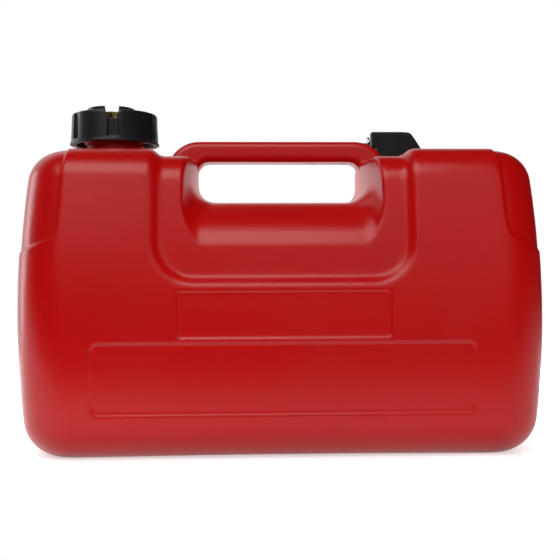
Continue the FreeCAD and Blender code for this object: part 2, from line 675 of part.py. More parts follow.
def filler_cap():
    """Lobed cap with a threaded ring, a slotted boss and the pocket of the vent screw."""
    phase = math.degrees(math.asin(VENT_OFFSET / CAP_TOP_R))
    boss = post(CAP_BOSS_R, VENT_OFFSET, 0, CAP_DECK_Z - 1, BOSS_TOP_Z)
    boss = boss.makeFillet(CAP_BOSS_EDGE_R, flat_edges(boss, BOSS_TOP_Z))
    bush_boss = post(VENT_BUSH_R + VENT_BOSS_WALL, VENT_OFFSET, 0, CROWN_Z - VENT_BUSH_DROP, CROWN_Z + 1)
    cap = cap_body().cut(around_cap(cap_flute(), CAP_LOBES, phase))
    cap = cap.fuse([boss, bush_boss] + around_cap(cap_rib(), CAP_RIBS, phase))
    slot = block(VENT_OFFSET - CAP_SLOT_WIDTH / 2, VENT_OFFSET + CAP_SLOT_WIDTH / 2,
                 -2 * CAP_RIM_R, 2 * CAP_RIM_R, SLOT_FLOOR_Z, BOSS_TOP_Z + WALL)
    pocket = post(VENT_HEAD_R + VENT_POCKET_CLEAR, VENT_OFFSET, 0, SLOT_FLOOR_Z, BOSS_TOP_Z + WALL)
    hole = post(VENT_BUSH_R + FIT_GAP, VENT_OFFSET, 0, CROWN_Z - 2 * VENT_BUSH_DROP, BOSS_TOP_Z)
    return set_cap(one_solid(cap.cut([slot, pocket, hole])))


def vent_bush():
    """Brass bush in the cap's crown, in which the vent screw turns."""
    bush = post(VENT_BUSH_R, VENT_OFFSET, 0, CROWN_Z - VENT_BUSH_DROP, SLOT_FLOOR_Z)
    bore = post(VENT_STEM_R + VENT_RUN, VENT_OFFSET, 0, CROWN_Z - 2 * VENT_BUSH_DROP, BOSS_TOP_Z)
    return set_cap(bush.cut(bore))


def vent_seal():
    """Rubber washer under the vent screw's head, which rises without turning."""
    ring = post(VENT_SEAL_R, VENT_OFFSET, 0, SLOT_FLOOR_Z, VENT_HEAD_Z)
    bore = post(VENT_STEM_R + FIT_GAP, VENT_OFFSET, 0, SLOT_FLOOR_Z - 1, VENT_HEAD_Z + 1)
    return set_cap(ring.cut(bore))


def vent_screw():
    """Brass vent screw with a fluted thumb head."""
    top = VENT_HEAD_Z + VENT_HEAD_HEIGHT
    edge = VENT_FLUTE_R
    profile = [(0, VENT_HEAD_Z - VENT_STEM_LENGTH), (VENT_STEM_R - edge, VENT_HEAD_Z - VENT_STEM_LENGTH),
               (VENT_STEM_R, VENT_HEAD_Z - VENT_STEM_LENGTH + edge), (VENT_STEM_R, VENT_HEAD_Z),
               (VENT_HEAD_R - edge, VENT_HEAD_Z), (VENT_HEAD_R, VENT_HEAD_Z + edge),
               (VENT_HEAD_R, top - edge), (VENT_HEAD_R - edge, top), (0, top)]
    screw = turned(profile, 0, 0)
    flute = post(VENT_FLUTE_R, 0, VENT_HEAD_R, VENT_HEAD_Z - 1, top + 1)
    screw = screw.cut(around_cap(flute, VENT_FLUTES, 0))
    screw.translate(Vector(VENT_OFFSET, 0, 0))
    return set_cap(one_solid(screw))


def flange_plate(z_low, z_high):
    """Outline shared by the pickup flange and its gasket, with the screw holes."""
    plate = rounded_plate(PICKUP_X, PICKUP_Y, FLANGE_WIDTH, FLANGE_LENGTH, FLANGE_CORNER_R, z_low, z_high)
    return plate.cut([post(SCREW_R + SCREW_CLEAR, x, y, z_low - 1, z_high + 1) for x, y in SCREW_PLACES])


def flange_gasket():
    """Rubber gasket between the pickup flange and its seat."""
    return flange_plate(SEAT_Z, FLANGE_Z).cut(pickup_hole(SEAT_Z - 1, FLANGE_Z + 1))


def pickup_flange():
    """Flange that closes the tank and carries the gauge, the tube and the outlet tower."""
    body = flange_plate(FLANGE_Z, FLANGE_TOP_Z)
    body = body.fuse([post(SPIGOT_R, PICKUP_X, SPINDLE_Y, SPIGOT_Z, FLANGE_Z),
                      post(SOCKET_R, PICKUP_X, TUBE_Y, FLANGE_TOP_Z - TUBE_SOCKET, FLANGE_Z),
                      post(TOWER_R, PICKUP_X, TUBE_Y, FLANGE_TOP_Z, TOWER_TOP_Z)] +
                     [post(POST_R, x, y, FLANGE_TOP_Z, TOWER_TOP_Z) for x, y in POST_PLACES])
    tube_top = FLANGE_TOP_Z - 1
    holes = [post(SPINDLE_R + SPINDLE_RUN, PICKUP_X, SPINDLE_Y, SPIGOT_Z - 1, FLANGE_TOP_Z + 1),
             post(TUBE_R + FIT_GAP, PICKUP_X, TUBE_Y, SPIGOT_Z - TUBE_SOCKET, tube_top),
             post(DUCT_R, PICKUP_X, TUBE_Y, tube_top, OUTLET_Z),
             rod_x(OUTLET_STEM_R + FIT_GAP, TUBE_Y, OUTLET_Z, PICKUP_X - 2 * TOWER_R,
                   outlet_stem_end() + FIT_GAP),
             rod_x(DUCT_R, TUBE_Y, OUTLET_Z, outlet_stem_end(), PICKUP_X)]
    holes += [post(HOOD_SCREW_R + FIT_GAP, x, y, TOWER_TOP_Z - HOOD_SCREW_LENGTH, TOWER_TOP_Z + 1)
              for x, y in POST_PLACES]
    return one_solid(body.cut(holes))


def pan_screw(x, y, z_seat, radius, length, head_r, head_height):
    """Screw with a low domed head that bears on the seat height."""
    dome = head_height * 0.35
    profile = [(0, z_seat - length), (radius - 0.4, z_seat - length), (radius, z_seat - length + 0.8),
               (radius, z_seat), (head_r, z_seat), (head_r, z_seat + head_height - dome),
               (head_r - dome, z_seat + head_height), (0, z_seat + head_height)]
    return turned(profile, x, y)


def flange_screws():
    """Four screws of the pickup flange."""
    return Part.makeCompound([pan_screw(x, y, FLANGE_TOP_Z, SCREW_R, SCREW_LENGTH, SCREW_HEAD_R,
                                        SCREW_HEAD_HEIGHT) for x, y in SCREW_PLACES])


def float_guide():
    """Slotted tube in which the float rises."""
    tube = post(GUIDE_R, PICKUP_X, SPINDLE_Y, GUIDE_LOW_Z, FLANGE_Z)
    bore = post(GUIDE_BORE_R, PICKUP_X, SPINDLE_Y, GUIDE_LOW_Z - 1, FLANGE_Z + 1)
    low = GUIDE_LOW_Z + FOOT_THICK
    high = SPIGOT_Z
    slot_y = block(PICKUP_X - GUIDE_SLOT / 2, PICKUP_X + GUIDE_SLOT / 2,
                   SPINDLE_Y - 2 * GUIDE_R, SPINDLE_Y + 2 * GUIDE_R, low, high)
    return one_solid(tube.cut([bore, slot_y]))


def guide_foot():
    """Foot bearing in the guide's lower end."""
    disc = post(GUIDE_BORE_R - FIT_GAP, PICKUP_X, SPINDLE_Y, GUIDE_LOW_Z, GUIDE_LOW_Z + FOOT_THICK)
    bore = post(SPINDLE_FOOT_R + SPINDLE_RUN, PICKUP_X, SPINDLE_Y, GUIDE_LOW_Z - 1,
                GUIDE_LOW_Z + FOOT_THICK + 1)
    return disc.cut(bore)


def twisted_strip(z_low, z_high):
    """Strip that twists steadily, square to the float's plate at the float's lowest place."""
    plate_z = FLOAT_LOW_Z + FLOAT_HEIGHT - FLOAT_PLATE / 2
    stations = 9
    sections = []
    for i in range(stations):
        z = z_low + (z_high - z_low) * i / (stations - 1)
        a, b = STRIP_WIDTH / 2, STRIP_THICK / 2
        corners = [Vector(-a, -b, z), Vector(a, -b, z), Vector(a, b, z), Vector(-a, b, z)]
        wire = Part.makePolygon(corners + [corners[0]])
        wire.rotate(Vector(0, 0, 0), Vector(0, 0, 1), -STRIP_TWIST * (z - plate_z) / FLOAT_TRAVEL)
        sections.append(wire)
    strip = Part.makeLoft(sections, True, False)
    strip.translate(Vector(PICKUP_X, SPINDLE_Y, 0))
    return strip


def gauge_spindle():
    """Twisted strip with a round journal at each end."""
    foot_top = GUIDE_LOW_Z + FOOT_THICK + 0.3
    shaft_low = SPIGOT_Z - 3
    strip = twisted_strip(foot_top, shaft_low + 1)
    foot = post(SPINDLE_FOOT_R, PICKUP_X, SPINDLE_Y, GUIDE_LOW_Z + 0.5, foot_top)
    shaft = post(SPINDLE_R, PICKUP_X, SPINDLE_Y, shaft_low, DIAL_LOW_Z + DIAL_HEIGHT)
    return one_solid(strip.fuse([foot, shaft]))


def spindle_clip():
    """Clip on the spindle, which hangs it from the flange."""
    z_low = FLANGE_TOP_Z + SPINDLE_RUN
    ring = post(CLIP_R, PICKUP_X, SPINDLE_Y, z_low, z_low + CLIP_THICK)
    bore = post(SPINDLE_R + FIT_GAP, PICKUP_X, SPINDLE_Y, z_low - 1, z_low + CLIP_THICK + 1)
    mouth = block(PICKUP_X - 2 * CLIP_R, PICKUP_X, SPINDLE_Y - 1, SPINDLE_Y + 1, z_low - 1,
                  z_low + CLIP_THICK + 1)
    return ring.cut([bore, mouth])


def gauge_float():
    """Foam float with a slotted top plate and two keys that run in the guide's slots."""
    top = FLOAT_LOW_Z + FLOAT_HEIGHT
    body = post(FLOAT_R, PICKUP_X, SPINDLE_Y, FLOAT_LOW_Z, top)
    body = body.fuse(block(PICKUP_X - FLOAT_KEY_WIDTH / 2, PICKUP_X + FLOAT_KEY_WIDTH / 2,
                           SPINDLE_Y - FLOAT_KEY_REACH, SPINDLE_Y + FLOAT_KEY_REACH, FLOAT_LOW_Z, top))
    bore = post(FLOAT_BORE_R, PICKUP_X, SPINDLE_Y, FLOAT_LOW_Z - 1, top - FLOAT_PLATE)
    a = STRIP_WIDTH / 2 + FLOAT_CLEAR
    b = STRIP_THICK / 2 + FLOAT_CLEAR
    slot = block(PICKUP_X - a, PICKUP_X + a, SPINDLE_Y - b, SPINDLE_Y + b, FLOAT_LOW_Z, top + 1)
    return one_solid(body.cut([bore, slot]))


def gauge_dial():
    """Fan-shaped dial on the spindle, whose curved face passes behind the window."""
    z_high = DIAL_LOW_Z + DIAL_HEIGHT
    start = -2 * DIAL_HALF_ANGLE + 2
    shell = [(DIAL_R - DIAL_SHELL, DIAL_LOW_Z), (DIAL_R, DIAL_LOW_Z), (DIAL_R, z_high),
             (DIAL_R - DIAL_SHELL, z_high)]
    web_z = DIAL_LOW_Z + (DIAL_HEIGHT - DIAL_WEB) / 2
    web = [(DIAL_HUB_R - 1, web_z), (DIAL_R - DIAL_SHELL / 2, web_z),
           (DIAL_R - DIAL_SHELL / 2, web_z + DIAL_WEB), (DIAL_HUB_R - 1, web_z + DIAL_WEB)]
    parts = []
    for profile in (shell, web):
        face = face_of([Vector(r, 0, z) for r, z in profile])
        fan = face.revolve(Vector(0, 0, 0), Vector(0, 0, 1), 2 * DIAL_HALF_ANGLE)
        fan.rotate(Vector(0, 0, 0), Vector(0, 0, 1), start)
        parts.append(fan)
    dial = post(DIAL_HUB_R, 0, 0, DIAL_LOW_Z, z_high).fuse(parts)
    dial = one_solid(dial.cut(post(SPINDLE_R + FIT_GAP, 0, 0, DIAL_LOW_Z - 1, z_high + 1)))
    dial.translate(Vector(PICKUP_X, SPINDLE_Y, 0))
    return dial


def pickup_tube():
    """Tube that draws fuel from the floor of the tank."""
    top = FLANGE_TOP_Z - 1 - FIT_GAP
    tube = post(TUBE_R, PICKUP_X, TUBE_Y, TUBE_LOW_Z, top)
    return tube.cut(post(TUBE_BORE_R, PICKUP_X, TUBE_Y, TUBE_LOW_Z - 1, top + 1))


def pickup_strainer():
    """Slotted cup pushed over the tube's lower end."""
    low = STRAINER_LOW_Z
    high = low + STRAINER_HEIGHT
    cup = post(STRAINER_R, PICKUP_X, TUBE_Y, low, high)
    cup = cup.cut([post(STRAINER_R - STRAINER_WALL, PICKUP_X, TUBE_Y, low + STRAINER_WALL, TUBE_LOW_Z),
                   post(TUBE_R + FIT_GAP, PICKUP_X, TUBE_Y, TUBE_LOW_Z, high + 1)])
    slots = []
    for i in range(STRAINER_SLOTS):
        slot = block(0, 2 * STRAINER_R, -STRAINER_WALL, STRAINER_WALL, low + 2, TUBE_LOW_Z - 1)
        slot.rotate(Vector(0, 0, 0), Vector(0, 0, 1), i * 360 / STRAINER_SLOTS)
        slot.translate(Vector(PICKUP_X, TUBE_Y, 0))
        slots.append(slot)
    return one_solid(cup.cut(slots))


def outlet_stem_end():
    """Inner end of the connector's stem."""
    return OUTLET_PLATE_X + OUTLET_PLATE_THICK + OUTLET_STEM_LENGTH


def outlet_connector():
    """Metal plate with the fuel nipple, its stem into the tower and a keying pin."""
    back = OUTLET_PLATE_X + OUTLET_PLATE_THICK
    plate_low = FLANGE_TOP_Z + OUTLET_PLATE_LIFT
    plate = block(OUTLET_PLATE_X, back, TUBE_Y - OUTLET_PLATE_R, TUBE_Y + OUTLET_PLATE_R,
                  plate_low, plate_low + OUTLET_PLATE_HEIGHT)
    plate = plate.makeFillet(OUTLET_PLATE_R - 0.2, edges_along(plate, Vector(1, 0, 0)))
    tip = OUTLET_PLATE_X - NIPPLE_LENGTH
    groove = OUTLET_PLATE_X - NIPPLE_GROOVE_FROM
    profile = [(tip, 0), (tip, NIPPLE_R - 1), (tip + NIPPLE_NOSE, NIPPLE_R),
               (groove - NIPPLE_GROOVE_WIDTH, NIPPLE_R),
               (groove - NIPPLE_GROOVE_WIDTH, NIPPLE_GROOVE_R), (groove, NIPPLE_GROOVE_R),
               (groove, NIPPLE_R), (OUTLET_PLATE_X + 0.5, NIPPLE_R), (OUTLET_PLATE_X + 0.5, OUTLET_STEM_R),
               (outlet_stem_end(), OUTLET_STEM_R), (outlet_stem_end(), 0)]
    body = plate.fuse([turned_x(profile, TUBE_Y, OUTLET_Z),
                       rod_x(KEY_PIN_R, TUBE_Y, OUTLET_Z - KEY_PIN_DROP,
                             OUTLET_PLATE_X - KEY_PIN_LENGTH, back)])
    return one_solid(body.cut([rod_x(NIPPLE_BORE_R, TUBE_Y, OUTLET_Z, tip + NIPPLE_TIP,
                                     outlet_stem_end() + 1),
                               rod_x(NIPPLE_TIP_BORE_R, TUBE_Y, OUTLET_Z, tip - 1, tip + NIPPLE_TIP)]))


def outlet_seal():
    """Rubber ring between the connector's plate and the hood."""
    back = OUTLET_PLATE_X + OUTLET_PLATE_THICK
    ring = rod_x(OUTLET_STEM_R + SEAL_WIDTH, TUBE_Y, OUTLET_Z, back, HOOD_NICHE_X)
    return ring.cut(rod_x(OUTLET_STEM_R + FIT_GAP, TUBE_Y, OUTLET_Z, back - 1, HOOD_NICHE_X + 1))


def poppet_face():
    """Where the valve pin's head starts, behind the nipple's tip."""
    return OUTLET_PLATE_X - NIPPLE_LENGTH + NIPPLE_TIP + POPPET_GAP


def valve_pin():
    """Pin that the hose connector pushes in to open the outlet."""
    face = poppet_face()
    front = OUTLET_PLATE_X - NIPPLE_LENGTH + POPPET_GAP
    profile = [(front, 0), (front, POPPET_STEM_R), (face, POPPET_STEM_R), (face, POPPET_R),
               (face + POPPET_LENGTH, POPPET_R), (face + POPPET_LENGTH, POPPET_STEM_R),
               (face + 2 * POPPET_LENGTH, POPPET_STEM_R), (face + 2 * POPPET_LENGTH, 0)]
    return turned_x(profile, TUBE_Y, OUTLET_Z)


def spring_seat():
    """Pressed ring that backs the valve spring."""
    far_x = OUTLET_PLATE_X + SPRING_SEAT_THICK
    ring = rod_x(NIPPLE_BORE_R - FIT_GAP, TUBE_Y, OUTLET_Z, OUTLET_PLATE_X, far_x)
    return ring.cut(rod_x(POPPET_STEM_R, TUBE_Y, OUTLET_Z, OUTLET_PLATE_X - 1, far_x + 1))


def valve_spring():
    """Coil spring of square wire behind the valve pin's head."""
    start = poppet_face() + POPPET_LENGTH + SPRING_WIRE + 0.1
    end = OUTLET_PLATE_X - SPRING_WIRE - 0.1
    coil_r = POPPET_R - SPRING_WIRE
    helix = Part.makeHelix((end - start) / SPRING_TURNS, end - start, coil_r)
    half = SPRING_WIRE / 2
    corners = [Vector(coil_r + i * half, 0, j * half) for i, j in ((-1, -1), (1, -1), (1, 1), (-1, 1))]
    spring = Part.Wire(helix).makePipeShell([Part.makePolygon(corners + [corners[0]])], True, True)
    spring.rotate(Vector(0, 0, 0), Vector(0, 1, 0), 90)
    spring.translate(Vector(start, TUBE_Y, OUTLET_Z))
    return spring


def hood_outline(inset):
    """Hood seen from the front, smaller by the inset."""
    slope_shift = inset / math.sin(SLOPE)
    right_under = HOOD_RIGHT_X - slope_shift - inset / math.tan(SLOPE)
    right_top = HOOD_FLAT_X - slope_shift + inset / math.tan(SLOPE)
    floor = FLANGE_TOP_Z if inset == 0 else FLANGE_TOP_Z - 1
    return [(HOOD_LEFT_X + inset, HOOD_CHEEK_Z + inset), (HOOD_LEFT_X + inset, HOOD_TOP_Z - inset),
            (right_top, HOOD_TOP_Z - inset), (right_under, HOOD_UNDER_Z + inset),
            (HOOD_NECK_RIGHT_X - inset, HOOD_UNDER_Z + inset), (HOOD_NECK_RIGHT_X - inset, floor),
            (HOOD_NICHE_X + inset, floor), (HOOD_NICHE_X + inset, HOOD_CHEEK_Z + inset)]


def hood_niche(inset):
    """Space beside the hood's left end, which the connector's plate takes."""
    return block(HOOD_LEFT_X - HOOD_WALL, HOOD_NICHE_X + inset, HOOD_NICHE_Y - inset,
                 HOOD_BACK_Y + HOOD_WALL, FLANGE_TOP_Z, HOOD_TOP_Z + HOOD_WALL)


def on_slope(width, height, corner_r, depth_from, depth_to):
    """Plate square to the sloping end, centred behind the window."""
    plate = rounded_plate(0, 0, height, width, corner_r, depth_from, depth_to)
    plate.rotate(Vector(0, 0, 0), Vector(0, 1, 0), math.degrees(SLOPE))
    mid_x = 0.5 * (HOOD_FLAT_X + HOOD_RIGHT_X)
    mid_z = 0.5 * (HOOD_TOP_Z + HOOD_UNDER_Z)
    plate.translate(Vector(mid_x, SPINDLE_Y, mid_z))
    return plate


def gauge_hood():
    """Hood over the gauge: flat top, sloping window end, niche for the connector."""
    outer = prism_y(hood_outline(0), HOOD_FRONT_Y, HOOD_BACK_Y)
    outer = one_solid(outer.cut(hood_niche(0)))
    rims = [edge for edge in outer.Edges if middle(edge).z > HOOD_UNDER_Z + 0.1]
    outer = outer.makeFillet(HOOD_EDGE_R, rims)
    inner = prism_y(hood_outline(HOOD_WALL), HOOD_FRONT_Y + HOOD_WALL, HOOD_BACK_Y - HOOD_WALL)
    hood = outer.cut(inner.cut(hood_niche(HOOD_WALL)))
    hood = hood.fuse([post(HOOD_BOSS_R, x, y, TOWER_TOP_Z, HOOD_TOP_Z - HOOD_EDGE_R / 2)
                      .common(outer) for x, y in POST_PLACES])
    holes = [post(HOOD_SCREW_R + SCREW_CLEAR, x, y, TOWER_TOP_Z - 1, HOOD_TOP_Z + 1)
             for x, y in POST_PLACES]
    holes += [post(HOOD_SCREW_HEAD_R + SCREW_CLEAR, x, y, HOOD_TOP_Z - HOOD_BOSS_DROP, HOOD_TOP_Z + 1)
              for x, y in POST_PLACES]
    holes += [rod_x(OUTLET_STEM_R + SCREW_CLEAR, TUBE_Y, OUTLET_Z, HOOD_NICHE_X - 1,
                    HOOD_NICHE_X + HOOD_WALL + 1),
              on_slope(WINDOW_WIDTH, WINDOW_HEIGHT, WINDOW_CORNER_R, -2 * HOOD_WALL, HOOD_WALL),
              on_slope(WINDOW_WIDTH + 2 * LENS_LAND, WINDOW_HEIGHT + 2 * LENS_LAND,
                       WINDOW_CORNER_R + LENS_LAND, -LENS_THICK, HOOD_WALL)]
    return one_solid(hood.cut(holes))


def gauge_lens():
    """Clear window let into the hood's sloping end."""
    land = LENS_LAND - LENS_CLEAR
    return on_slope(WINDOW_WIDTH + 2 * land, WINDOW_HEIGHT + 2 * land, WINDOW_CORNER_R + land,
                    -LENS_THICK, 0.2)


def hood_screws():
    """Two screws that hold the hood on the flange's posts."""
    return Part.makeCompound([pan_screw(x, y, HOOD_TOP_Z - HOOD_BOSS_DROP, HOOD_SCREW_R,
                                        HOOD_SCREW_LENGTH, HOOD_SCREW_HEAD_R, HOOD_SCREW_HEAD)
                              for x, y in POST_PLACES])


PIECES = {
    "tank_shell": tank_shell,
    "flange_inserts": flange_inserts,
    "cap_gasket": cap_gasket,
    "cap_liner": cap_liner,
    "filler_cap": filler_cap,
    "vent_bush": vent_bush,
    "vent_seal": vent_seal,
    "vent_screw": vent_screw,
    "flange_gasket": flange_gasket,
    "pickup_flange": pickup_flange,
    "flange_screws": flange_screws,
    "float_guide": float_guide,
    "guide_foot": guide_foot,
    "gauge_float": gauge_float,
    "gauge_spindle": gauge_spindle,
    "spindle_clip": spindle_clip,
    "gauge_dial": gauge_dial,
    "pickup_tube": pickup_tube,
    "pickup_strainer": pickup_strainer,
    "outlet_connector": outlet_connector,
    "outlet_seal": outlet_seal,
    "valve_pin": valve_pin,
    "valve_spring": valve_spring,
    "spring_seat": spring_seat,
    "gauge_hood": gauge_hood,
    "gauge_lens": gauge_lens,
    "hood_screws": hood_screws,
}

os.makedirs("parts", exist_ok=True)
for name, build in PIECES.items():
    build().exportStep("parts/" + name + ".step")
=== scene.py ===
"""Portable outboard fuel tank: moulded shell, filler cap, level gauge, and the stage it stands on.

Metres. +X runs along the tank towards the pickup, +Y to the back, +Z up.
"""

import json
import math

import bmesh
import bpy
from bpy.props import FloatProperty, FloatVectorProperty, IntProperty, PointerProperty
from mathutils import Matrix, Vector


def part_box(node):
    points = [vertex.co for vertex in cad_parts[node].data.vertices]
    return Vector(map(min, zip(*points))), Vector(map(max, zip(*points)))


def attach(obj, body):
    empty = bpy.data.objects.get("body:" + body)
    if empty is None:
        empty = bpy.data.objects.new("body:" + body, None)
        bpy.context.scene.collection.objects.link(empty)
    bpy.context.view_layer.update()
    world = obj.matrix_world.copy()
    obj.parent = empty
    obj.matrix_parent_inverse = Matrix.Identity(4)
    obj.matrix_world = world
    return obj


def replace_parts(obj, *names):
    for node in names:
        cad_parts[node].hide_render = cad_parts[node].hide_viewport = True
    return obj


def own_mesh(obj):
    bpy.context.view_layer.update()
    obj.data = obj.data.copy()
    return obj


bl_info = {
    "name": "Outboard fuel tank",
    "version": (1, 0, 0),
    "blender": (4, 5, 0),
    "location": "3D View > Sidebar > Fuel tank",
    "description": "Finishes a portable fuel tank: shell, filler cap, vent screw and level gauge",
    "category": "Object",
}

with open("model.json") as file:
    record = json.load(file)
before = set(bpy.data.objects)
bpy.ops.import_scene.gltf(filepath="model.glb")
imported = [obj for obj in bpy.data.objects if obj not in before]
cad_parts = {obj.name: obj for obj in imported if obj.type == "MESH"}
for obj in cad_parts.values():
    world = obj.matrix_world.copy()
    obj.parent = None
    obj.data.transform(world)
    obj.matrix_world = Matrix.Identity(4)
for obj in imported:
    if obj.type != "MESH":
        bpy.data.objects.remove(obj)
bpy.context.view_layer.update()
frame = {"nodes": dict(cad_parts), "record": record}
MM = 0.001


# ---------------------------------------------------------------- sizes and colours

def length(name, description, default):
    """Length property in metres."""
    return FloatProperty(name=name, description=description, default=default, min=0.0, max=1.0,
                         unit='LENGTH', precision=5)


def number_of(name, description, default):
    """Whole-number property."""
    return IntProperty(name=name, description=description, default=default, min=3)


def color(name, description, default):
    """Colour property."""
    return FloatVectorProperty(name=name, description=description, default=default, min=0.0, max=1.0,
                               size=3, subtype='COLOR')


class TankSizes(bpy.types.PropertyGroup):
    """Sizes of the moulded and turned details."""
    shell_grain: length("Shell grid", "Spacing of the shell's skin", 1.0 * MM)
    shell_faces: number_of("Shell faces", "Most triangles in the shell's skin", 180000)
    step_half: length("Step half width", "Middle of the tank to the foot of the step", 91.5 * MM)
    step_bottom: length("Step height", "Foot of the step under the handle", 133.0 * MM)
    step_corner: length("Step corner", "Radius of the step's lower corners", 26.0 * MM)
    step_soft: length("Step softness", "Width over which the step's foot is rounded", 9.0 * MM)
    face_start: length("Face distance", "Middle of the tank to where its two faces begin", 30.0 * MM)
    cap_grain: length("Cap grid", "Spacing of the cap's skin", 0.45 * MM)
    cap_faces: number_of("Cap faces", "Most triangles in the cap's skin", 120000)
    hood_grain: length("Hood grid", "Spacing of the hood's skin", 0.42 * MM)
    hood_faces: number_of("Hood faces", "Most triangles in the hood's skin", 110000)
    hood_soft: length("Hood softness", "Width over which the hood's top edge is rounded", 6.5 * MM)
    thread_pitch: length("Thread pitch", "Rise of the neck's thread in one turn", 6.0 * MM)
    thread_height: length("Thread height", "How far the thread stands out of the neck", 1.1 * MM)
    thread_width: length("Thread width", "Width of the thread at its root", 2.4 * MM)
    thread_start: length("Thread start", "How far under the neck's rim the thread begins", 19.0 * MM)
    thread_end: length("Thread end", "How far under the neck's rim the thread ends", 3.0 * MM)
    knurl_teeth: number_of("Knurl teeth", "Teeth around the vent screw's head", 44)
    knurl_depth: length("Knurl depth", "Depth of the knurl on the vent screw", 0.4 * MM)
    stem_radius: length("Stem radius", "Radius of the vent screw's stem", 2.5 * MM)
    flange_head: length("Flange screw head", "Height of a flange screw's head", 2.4 * MM)
    hood_head: length("Hood screw head", "Height of a hood screw's head", 1.9 * MM)
    recess_width: length("Recess width", "Width of a screw's cross recess", 0.7 * MM)
    dial_radius: length("Dial radius", "Gauge spindle's axis to the face of its dial", 17.4 * MM)
    digit_height: length("Digit height", "Height of the dial's numbers", 3.0 * MM)


class TankColors(bpy.types.PropertyGroup):
    """Colours of the finishes."""
    shell: color("Shell", "Moulded polyethylene", (0.50, 0.0010, 0.0013))
    shell_scuff: color("Shell scuffs", "Rubbed places of the shell", (0.55, 0.010, 0.010))
    shell_dust: color("Shell dust", "Dust that lies on the shell", (0.55, 0.18, 0.16))
    cap: color("Cap", "Cap plastic", (0.010, 0.0105, 0.0115))
    hood: color("Hood", "Hood and flange plastic", (0.0065, 0.0060, 0.0065))
    cap_dust: color("Cap dust", "Dust that lies on the cap and hood", (0.16, 0.15, 0.14))
    rubber: color("Rubber", "Gaskets and seals", (0.016, 0.016, 0.017))
    pale: color("Pale plastic", "Inner plastic parts", (0.74, 0.72, 0.66))
    foam: color("Foam", "Float", (0.050, 0.043, 0.036))
    brass: color("Brass", "Vent screw and inserts", (0.72, 0.47, 0.20))
    nickel: color("Nickel", "Fuel connector", (0.66, 0.63, 0.58))
    steel: color("Steel", "Screws and spring", (0.56, 0.57, 0.58))
    ink: color("Dial ink", "Numbers and marks of the dial", (0.010, 0.010, 0.012))
    floor: color("Floor", "Floor that the tank stands on", (0.82, 0.82, 0.82))


# ---------------------------------------------------------------- shared shader groups

PATCH_SHARE = 0.35  # how strong the rubbed patches are beside the scratches
SCRATCHES = ((0.3, 9.0), (1.25, 14.0), (-0.6, 20.0))  # turn in radians, closeness of the lines


def new_group(name, inputs, outputs):
    """Shader node group with named sockets, and its two end nodes."""
    group = bpy.data.node_groups.new(name, 'ShaderNodeTree')
    for socket_name, default in inputs:
        socket = group.interface.new_socket(socket_name, in_out='INPUT', socket_type='NodeSocketFloat')
        socket.default_value = default
    for socket_name in outputs:
        group.interface.new_socket(socket_name, in_out='OUTPUT', socket_type='NodeSocketFloat')
    return group, group.nodes.new('NodeGroupInput'), group.nodes.new('NodeGroupOutput')


def feed(tree, socket, value):
    """Give a socket a number, or link it to another socket."""
    if isinstance(value, bpy.types.NodeSocket):
        tree.links.new(value, socket)
    else:
        socket.default_value = value


def math_node(tree, operation, first, second=None, clamp=False):
    """Math node whose inputs are numbers or sockets; returns its output."""
    node = tree.nodes.new('ShaderNodeMath')
    node.operation = operation
    node.use_clamp = clamp
    for socket, value in zip(node.inputs, (first, second)):
        if value is not None:
            feed(tree, socket, value)
    return node.outputs[0]


def noise_node(tree, vector, scale, detail=2.0, roughness=0.5):
    """Noise in the piece's own space; returns its value."""
    node = tree.nodes.new('ShaderNodeTexNoise')
    tree.links.new(vector, node.inputs['Vector'])
    feed(tree, node.inputs['Scale'], scale)
    feed(tree, node.inputs['Detail'], detail)
    feed(tree, node.inputs['Roughness'], roughness)
    return node.outputs['Fac']


def place(tree):
    """Coordinates of the piece itself, in metres."""
    return tree.nodes.new('ShaderNodeTexCoord').outputs['Object']


def ramp_node(tree, value, low, high):
    """Value stretched so that low gives nought and high gives one."""
    node = tree.nodes.new('ShaderNodeMapRange')
    node.interpolation_type = 'SMOOTHSTEP'
    tree.links.new(value, node.inputs['Value'])
    feed(tree, node.inputs['From Min'], low)
    feed(tree, node.inputs['From Max'], high)
    return node.outputs['Result']


def patches_group():
    """Soft uneven patches, as a mask."""
    group, given, made = new_group("Uneven patches", [("Scale", 45.0), ("Detail", 3.0), ("Roughness", 0.5),
                                                      ("Low", 0.40), ("High", 0.75)], ["Mask"])
    patches = noise_node(group, place(group), given.outputs['Scale'], given.outputs['Detail'],
                         given.outputs['Roughness'])
    group.links.new(ramp_node(group, patches, given.outputs['Low'], given.outputs['High']),
                    made.inputs['Mask'])
    return group


def grain_group():
    """Fine grain of a moulded surface, as a height."""
    group, given, made = new_group("Moulding grain", [("Scale", 900.0), ("Waves", 0.3)], ["Height"])
    where = place(group)
    fine = noise_node(group, where, given.outputs['Scale'], detail=3.0, roughness=0.6)
    broad = noise_node(group, where, scale=55.0, detail=1.0)
    waves = math_node(group, 'MULTIPLY', broad, given.outputs['Waves'])
    group.links.new(math_node(group, 'ADD', fine, waves), made.inputs['Height'])
    return group


